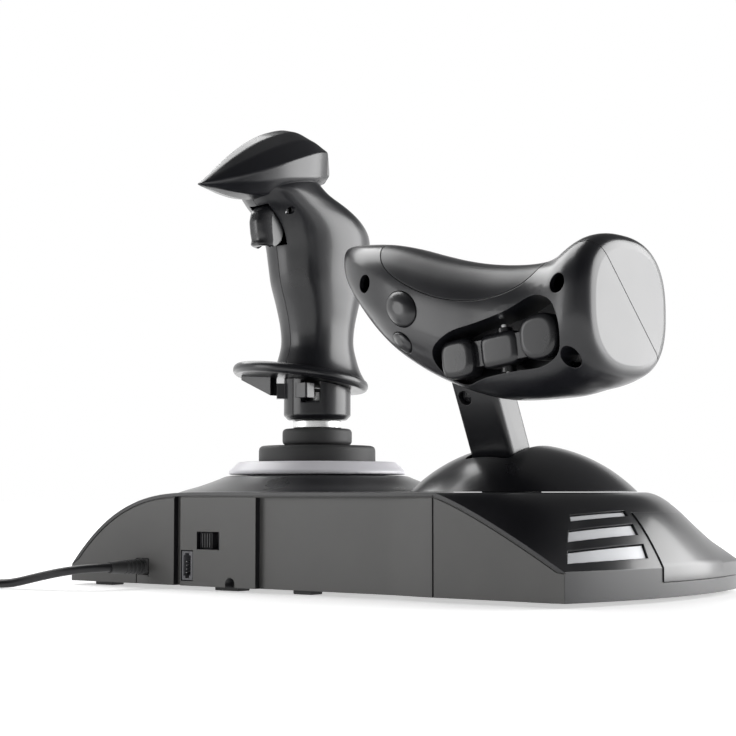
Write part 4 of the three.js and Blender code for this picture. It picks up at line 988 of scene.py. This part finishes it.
def on_rest(made):
    """The solid moved onto the hand rest's tilted plane."""
    return moved(made, (REST["x"], 0, REST["z"]), (REST["tilt_x"], REST["tilt_y"], 0))


def above_rest(lift):
    """The room above the hand rest's tilted plane, from its middle moved up by lift."""
    return on_rest(block((300, 300, 300), (0, 0, 150 + lift)))


def neck():
    outer = lathe(rounded([(0, 38.3), (15.4, 38.3), (17.6, 40.6), (17.6, 80), (0, 80)], 0.6))
    lug = moved(block((6, 7.4, 8), (18.4, 0, 53.5)), turn=(0, 0, 44))
    seam = block((0.5, 2, 80), (1.5, 17.4, 60))
    well = rod(14.4, 80, (0, 0, 82))
    window = block((9, 12, 12), (-8, 16, 53))
    beyond = above_rest(-REST["thickness"] / 2 - CLEAR)
    return cut(bored(join(outer, lug)), well, beyond, window, seam)


def hand_rest():
    rings = []
    half = REST["thickness"] / 2
    for k in range(13):
        angle = mix(-math.pi / 2, math.pi / 2, k / 12)
        inset = half * 0.8 * (1 - math.cos(angle))
        outline = oval_line(REST["half_x"] - inset, REST["half_y"] - inset, sides=96)
        rings.append([(x, y, half * math.sin(angle)) for x, y in outline])
    rib = moved(prism([(17, 0), (38, 9), (38, 20), (17, 20)], 0, 5), (2, 16, 51.5), TO_PILOT)
    return join(on_rest(loft(rings)), cut(rib, above_rest(0)))


def lock_tab():
    return moved(prism(rounded(rectangle(4, 3.5), 1.2, closed=True), -3.8, 3.8), (-8, 19, 53))


def make_stick():
    show(bezel(), "bezel", "bezel", "base", ["bezel_ring"])
    show(lower_skirt(), "skirt_below", "rubber", "stick", ["skirt_lower"], ON_STICK)
    upper = rounded([(0, 25.1), (18.3, 25.1), (18.3, 33.8), (0, 33.8)], 2.6, steps=8)
    show(bored(lathe(upper)), "skirt_above", "rubber", "stick", ["skirt_upper"], ON_STICK)
    polished = rounded([(0, 34.1), (12.7, 34.1), (12.7, 38), (0, 38)], 0.5)
    show(bored(lathe(polished)), "shaft_collar", "steel", "stick", ["collar"], ON_STICK)
    show(neck(), "grip_neck", "grip", "grip", ["neck"], ON_STICK)
    show(hand_rest(), "palm_rest", "grip", "grip", ["hand_rest"], ON_STICK)
    show(lock_tab(), "lock_tab", "grip", "twist_lock", ["twist_lock_tab"], ON_STICK)


# ---------------------------------------------------------------- grip; z over the desk, y ahead of the stick
GRIP_ROWS = [
    (96, 25, 27, 0), (104, 23, 26, 0), (110, 20, 23.5, 0), (116, 18.2, 21.5, 0), (124, 17, 19.5, 0),
    (133, 17, 20.3, 0), (144, 18.4, 23, 0), (155, 19.8, 26.6, 0), (165, 20.6, 28.4, 0),
    (175, 21.6, 30.4, -0.4), (183, 21.8, 31.6, 1.4), (190, 21.2, 32, 7), (196, 20, 31, 15),
    (202, 18.6, 26, 24), (208, 16.5, 18, 25), (213, 13, 12, 25),
]  # z, half width, half depth and y of the centre
HEAD_ROWS = [
    (7, 227.5, 15, 223, 14.5, 210, 206),
    (9, 229.6, 16.4, 224, 15.6, 210, 205),
    (16, 234, 18.6, 222.6, 17.4, 209, 203),
    (25, 235.6, 20, 219.6, 18.6, 207.6, 200),
    (38, 232, 20, 214.6, 18.2, 205.6, 197.5),
    (50, 226, 17.5, 209.8, 15.8, 203.4, 195.6),
    (62, 217.4, 12.6, 205.6, 11.4, 201.8, 196),
    (73, 208, 7, 202.6, 6.4, 200.4, 197.6),
    (80, 201.8, 2.6, 200.6, 2.4, 199.8, 198.6),
    (82.4, 200, 0.9, 199.8, 0.9, 199.5, 199.2),
]  # y, ridge, flank's half width and height, band's half width and height, underside
GRIP_POWER = 2.3
FACE = {"y": 7, "z": 218, "width": 27, "height": 19.5, "thickness": 2.6, "corner": 4}
HAT = {"z": 221.6, "hole": 4.4, "gap": 1.3}
HEAD_BUTTONS = {"left": (-7.8, 213.8), "right": (7.8, 213.8)}
TRIGGER_PIN = (33, 190.6)  # y and z
TRIGGER_LINE = [
    (29, 190), (32, 194), (37, 194.6), (42, 193.2), (45, 190), (46.2, 185), (45.4, 179), (44.4, 175.4),
    (45.4, 173.2), (42.6, 172.2), (37, 174), (32.6, 176.8), (30.6, 181), (29, 185),
]
TRIGGER_ROOM = [
    (27.7, 190.9), (30.7, 194.9), (35.7, 195.5), (42.3, 194.1), (45.3, 190.9), (46.5, 185.9), (45.7, 178.1),
    (44.7, 174.5), (45.7, 172.3), (42.9, 171.3), (35.7, 173.1), (27, 174.5), (25, 180), (25.5, 187),
]


def body_ring(row, inset):
    z, width, depth, y = row
    return [(x, y + ahead, z) for x, ahead in oval_line(width - inset, depth - inset, GRIP_POWER, 72)]


def head_ring(row, inset):
    """Half a section from the ridge down the flank and the band to the underside, and its mirror image."""
    y, ridge, flank, flank_z, band, band_z, foot = row
    half = [
        (0, ridge - inset),
        (flank * 0.34, mix(ridge, flank_z, 0.12) - inset),
        (flank * 0.72, mix(ridge, flank_z, 0.46) - inset),
        (flank, flank_z - inset * 0.4),
        (band, band_z + inset * 0.6),
        (band * 0.6, mix(band_z, foot, 0.8) + inset),
        (0, foot + inset),
    ]
    right = [(max(0, x - (inset if x > 0 else 0)), z) for x, z in half]
    section = right + [(-x, z) for x, z in right[-2:0:-1]]
    radius = 1.1 if flank > 3 else 0.1
    return [(x, y, z) for x, z in rounded(section, radius, closed=True, steps=3)]


def sideways(outline, width):
    """A plate of an outline given in y and z, across x."""
    return moved(moved(prism(outline, -width / 2, width / 2), turn=TO_PILOT), turn=(0, 0, 90))


def trigger_blade():
    """The trigger's outline across its width, drawn back at the sides so that its front is round."""
    half_width, back, steps = 6.5, 31, 20
    line = rounded(TRIGGER_LINE, 1.4, closed=True)
    rings = []
    for k in range(steps + 1):
        side = math.sin(math.pi / 2 * (2 * k / steps - 1))
        reach = 1 - 0.5 * abs(side) ** 4
        section = [(back + (y - back) * reach if y > back else y, z) for y, z in line]
        rings.append([(half_width * side, y, z) for y, z in section])
    return loft(rings)


def trigger_hole():
    """The room of the trigger's pin."""
    return rod(1.8, 60, (0, *TRIGGER_PIN), TO_RIGHT)


def grip_shell():
    body, head = refined(GRIP_ROWS, 5), refined(HEAD_ROWS, 5)
    inner_head = [row for row in head if 16 <= row[0] <= 62]
    outer = join(loft([body_ring(row, 0) for row in body]), loft([head_ring(row, 0) for row in head]))
    below = cut(block((300, 300, 300), (0, 0, 0)), above_rest(REST["thickness"] / 2 + CLEAR))
    outer = cut(outer, moved(below, (0, 0, STICK[2])))
    hollow_head = loft([head_ring(row, WALL) for row in inner_head])
    hollow = join(loft([body_ring(row, WALL) for row in body]), hollow_head)
    trigger_room = sideways(rounded(TRIGGER_ROOM, 1, closed=True), 14.2)
    face = block((25.4, 12, 17.9), (0, FACE["y"] + 1, FACE["z"]))
    neck_room = rod(18.2, 20, (0, 0, 96))
    return cut(cut(outer, hollow), trigger_room, face, trigger_hole(), neck_room)


def control_plate():
    """The plate that faces the pilot, with its edge eased and a shallow dish round the hat."""
    half, high, corner = FACE["width"] / 2, FACE["height"] / 2, FACE["corner"]
    back, front = FACE["y"] - CLEAR, FACE["y"] - CLEAR - FACE["thickness"]
    rings = []
    for y, inset in ((back, 0), (front + 0.6, 0), (front + 0.2, 0.2), (front, 0.6)):
        w, h = half - inset, high - inset
        right = [(w - corner, -h), (w, corner - h), (w - 1, h - corner), (w - 1 - corner, h)]
        line = rounded(right + [(-x, z) for x, z in reversed(right)], 1.6, closed=True)
        rings.append([(x, y, FACE["z"] + z) for x, z in line])
    holes = [rod(3.9, 20, (x, FACE["y"], z), TO_PILOT) for x, z in HEAD_BUTTONS.values()]
    bevel = lathe([(0, 0), (HAT["hole"], 0), (HAT["hole"] + 2.2, 1.2), (HAT["hole"] + 2.2, 2), (0, 2)])
    dish = moved(bevel, (0, front + 1, HAT["z"]), TO_PILOT)
    return cut(loft(rings), rod(HAT["hole"], 20, (0, FACE["y"], HAT["z"]), TO_PILOT), *holes, dish)


def make_head_controls():
    """The pilot-side plate, its dished hat and its two domed buttons."""
    back = FACE["y"] - CLEAR - FACE["thickness"] - HAT["gap"]
    show(control_plate(), "pilot_plate", "casing", "grip", ["control_plate"], ON_GRIP)
    rim = rounded([(5.6, 0), (6.2, 1.4), (5.6, 3), (3.2, 2.4)], 0.7)
    dish = moved(lathe([(0, 0), *rim, (0, 2.2)]), (0, back, HAT["z"]), TO_PILOT)
    studs = [
        rod(0.55, 1.2, (3.9 * math.cos(a), back - 2.5, HAT["z"] + 3.9 * math.sin(a)), TO_PILOT, 16)
        for a in (k * math.pi / 2 for k in range(4))
    ]
    cap = join(dish, rod(2.2, 6.4, (0, back + 3, HAT["z"]), TO_PILOT), *studs)
    show(cap, "hat_dish", "button", "hat", ["hat_cap"], ON_GRIP)
    dome_line = [(4.4, 0), (4.4, 1), (3.6, 1), (3.6, 5.3), (3.4, 5.9), (2.8, 6.3), (1.6, 6.52)]
    for side, (x, z) in HEAD_BUTTONS.items():
        button = moved(lathe([(0, 0), *dome_line, (0, 6.6)]), (x, FACE["y"] + 1.7, z), TO_PILOT)
        show(button, f"{side}_head_cap", "button", f"{side}_head_button", [f"head_button_{side}"], ON_GRIP)


def make_grip():
    make_head_controls()
    whole = grip_shell()
    for side, name in ((-1, "left"), (1, "right")):
        half = common(copy_of(whole), block((100, 300, 400), (side * 50.15, 0, 150)))
        show(half, f"grip_{name}", "grip", "grip", [f"grip_{name}_shell"], ON_GRIP)
    bpy.data.objects.remove(whole)
    show(cut(trigger_blade(), trigger_hole()), "trigger_blade", "button", "trigger", ["trigger"], ON_GRIP)


# ---------------------------------------------------------------- USB lead
CABLE_ROUTE = [
    (97.2, 121.8, 10.5),
    (98.2, 128, 10.4),
    (102.5, 134, 10),
    (110, 138.8, 8.8),
    (119, 142, 7),
    (128.5, 144.4, 4.9),
    (138, 146.2, 3),
    (147, 147.1, 2.3),
    (157, 147.3, 2.2),
    (166, 147.2, 2.2),
]
COIL = {"x": 175, "y": 178.4, "outer": 30.7, "pitch": 4.3, "low": 2.2, "turns": 3}
TAIL = [
    (200.9, 177, 16.4),
    (201, 184.4, 18.6),
    (199.7, 191.6, 20.6),
    (196.2, 197.6, 21.3),
    (191.8, 200.6, 21.3),
    (187.8, 201, 21.3),
]
CABLE_DIAMETER = 4.2


def on_coil(reach, angle, z):
    return COIL["x"] + reach * math.cos(angle), COIL["y"] + reach * math.sin(angle), z


def coil_points(last_layer_turns):
    """Flat spirals, inwards and outwards in turn, with a short climb from each layer to the next."""
    pitch, climb = COIL["pitch"], 1 / 6
    radius, z, angle, inwards = COIL["outer"], COIL["low"], -math.pi / 2, True
    points = []
    for turns in [COIL["turns"]] * 3 + [last_layer_turns]:
        count = round(turns * 24)
        for k in range(count):
            share = k / count * turns
            reach = radius - pitch * share if inwards else radius + pitch * share
            points.append(on_coil(reach, angle + math.tau * share, z))
        radius += -pitch * turns if inwards else pitch * turns
        angle += math.tau * turns
        if turns == COIL["turns"]:
            for k in range(4):
                points.append(on_coil(radius, angle + math.tau * climb * k / 4, z + pitch * smooth(k / 4)))
            angle += math.tau * climb
        z += pitch
        inwards = not inwards
    return points


def make_cable():
    line = refined(CABLE_ROUTE, 4) + refined(coil_points(1.65) + TAIL, 2)
    data = bpy.data.curves.new("usb_lead", "CURVE")
    data.dimensions = "3D"
    data.bevel_depth = CABLE_DIAMETER / 2 * MM
    data.bevel_resolution = 5
    data.use_fill_caps = True
    spline = data.splines.new("POLY")
    spline.points.add(len(line) - 1)
    for point, place in zip(spline.points, line):
        point.co = (*row_point(*place), 1)
    spline.use_smooth = True
    data.materials.append(MATERIAL["cable"])
    lead = linked("usb_lead", data)
    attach(lead, "base")
    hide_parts("usb_cable", "cable_coil")
    return lead


def relief_sleeve():
    """The ribbed sleeve, looking along +y from the rear wall."""
    profile = [(0, 0), (3.9, 0)]
    for k in range(5):
        start, rib = 1.4 + k * 2.6, 3.8 - k * 0.12
        profile += [(rib, start), (2.9, start + 0.2), (2.9, start + 1), (rib - 0.1, start + 1.2)]
    profile += [(3.2, 15), (2.7, 21.5), (0, 21.5)]
    sleeve = moved(lathe(profile, 48), (CABLE_EXIT["x"], REAR, CABLE_EXIT["z"]), AHEAD)
    size = (CABLE_EXIT["slot"] - 2 * CLEAR, REAR_WALL + 1, 7)
    return join(sleeve, block(size, (CABLE_EXIT["x"], REAR - REAR_WALL / 2, CABLE_EXIT["z"])))


PLUG = {
    "x": 174.8, "y": 201, "body": (26, 15.6, 7.6), "shell": (17, 12, 4.5),
    "sizes": [(-0.5, 0.62), (-0.49, 0.7), (-0.36, 0.78), (-0.2, 0.96), (0.42, 1), (0.48, 0.97), (0.5, 0.9)],
}  # sizes: places along the body, and the section's size at each


def plug_body(z):
    length, width, height = PLUG["body"]
    rings = []
    for share, size in PLUG["sizes"]:
        outline = rectangle(width / 2 * size, height / 2 * size)
        rings.append([(-share * length, a, b) for a, b in rounded(outline, 2.2, closed=True, steps=6)])
    body = moved(loft(rings), (PLUG["x"], PLUG["y"], z))
    at = [(PLUG["x"] - 8 + k * 2.4, PLUG["y"], z + height / 2) for k in range(4)]
    return cut(body, *(block((0.9, width + 2, 1), place) for place in at))


def plug_shell(z):
    length, width, height = PLUG["shell"]
    at = PLUG["x"] - (PLUG["body"][0] + length) / 2 - CLEAR
    shell = block((length, width, height), (at, PLUG["y"], z))
    mouth = block((length, width - 0.8, 1.6), (at - 2, PLUG["y"], z + 0.9))
    windows = [block((2.4, 2.2, 3), (at - 2.6, PLUG["y"] + side * 2.9, z + height / 2)) for side in (-1, 1)]
    return cut(cut(shell, mouth), *windows)


def coil_tie():
    """A strap round the coil's bundle."""
    inner, outer = COIL["outer"] - 3 * COIL["pitch"] - 2.6, COIL["outer"] + 2.6
    outline = [(inner, 0.02), (outer, 0.02), (outer, 18), (inner, 18)]
    hole = [(inner + 0.8, 0.4), (outer - 0.8, 0.4), (outer - 0.8, 17.2), (inner + 0.8, 17.2)]
    strap = prism(rounded(outline, 3, closed=True), -3.5, 3.5)
    strap = cut(strap, prism(rounded(hole, 2.6, closed=True), -5, 5))
    return moved(moved(strap, turn=TO_PILOT), (COIL["x"], COIL["y"], 0), (0, 0, 200))


def make_lead():
    low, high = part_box("usb_plug_body")
    middle = (low.z + high.z) / 2 / MM
    lead = make_cable()
    sleeve = show(relief_sleeve(), "cable_sleeve", "rubber", "base", ["strain_relief"])
    body = show(plug_body(middle), "plug_grip", "rubber", "base", ["usb_plug_body"])
    shell = show(plug_shell(middle), "plug_shell", "steel", "base", ["usb_plug_shell"])
    tie = show(coil_tie(), "coil_tie", "rubber", "base")


# ---------------------------------------------------------------- stage and lights, in metres
FLOOR_REACH = 6
GLOW_FROM_TO, GLOW = (0.25, 0.8), (0.5, 1)  # distances from the middle, and the glow at them
ROOM_SIDE = (-0.63, 0.77, 0)  # the way the rear wall faces in the view, where the room is dark


def make_stage():
    """A pale floor that glows more with distance, so that it meets the white horizon without an edge."""
    mesh = bpy.data.meshes.new("floor")
    mesh.from_pydata([(x, y, 0) for x, y in rectangle(FLOOR_REACH, FLOOR_REACH)], [], [(0, 1, 2, 3)])
    paper = new_material("floor", (0.86, 0.86, 0.86), 0.7)
    tree = paper.node_tree
    distance = tree.nodes.new("ShaderNodeVectorMath")
    distance.operation = "LENGTH"
    wire(tree, distance, {0: on_object(tree)})
    strength = ranged(tree, distance.outputs["Value"], GLOW_FROM_TO, GLOW)
    finish(tree, {"Emission Color": (1, 1, 1, 1), "Emission Strength": strength})
    mesh.materials.append(paper)
    linked("floor", mesh)


def area_light(name, at, target, size, power):
    data = bpy.data.lights.new(name, "AREA")
    data.shape, data.size, data.size_y, data.energy = "RECTANGLE", *size, power
    aim(linked(name, data), at, Vector(target) - Vector(at))


def make_world():
    """A white horizon under a dark ceiling, with a dark room on the side that the rear wall faces."""
    world = bpy.data.worlds.new("world")
    world.use_nodes = True
    tree = world.node_tree
    place = add(tree, "TexCoord", {}).outputs["Generated"]
    height = add(tree, "SeparateXYZ", {"Vector": place}).outputs["Z"]
    facing, shade = tree.nodes.new("ShaderNodeVectorMath"), tree.nodes.new("ShaderNodeMath")
    facing.operation, shade.operation = "DOT_PRODUCT", "MULTIPLY"
    wire(tree, facing, {0: place, 1: ROOM_SIDE})
    ceiling = ranged(tree, height, (0.3, 0.42), (1, 0.13))
    room = ranged(tree, facing.outputs["Value"], (0.1, 0.8), (1, 0.26))
    wire(tree, shade, {0: ceiling, 1: room})
    wire(tree, tree.nodes["Background"], {"Color": shade.outputs["Value"]})
    bpy.context.scene.world = world


def make_lights():
    bpy.context.scene.view_settings.view_transform = "Standard"
    make_world()
    area_light("end_softbox", (-0.8, -0.72, 0.3), (-0.15, 0.07, 0.12), (1.0, 0.8), 15)
    area_light("high_softbox", (0.85, -0.1, 1.0), (0, 0.05, 0.12), (0.9, 0.9), 11)
    area_light("wall_softbox", (0.5, 0.66, 0.22), (0.0, 0.1, 0.03), (0.35, 0.35), 1.1)


def finish_cad_nodes():
    """Finishes of the CAD pieces that stay."""
    slots = {part["node"]: part["material_slot"] for part in frame["record"]["subparts"]}
    for name, node in frame["nodes"].items():
        node.data.materials.clear()
        node.data.materials.append(MATERIAL[slots[name]])


make_camera()
finish_cad_nodes()
make_lead()
make_base()
make_throttle()
make_stick()
make_grip()
make_stage()
make_lights()
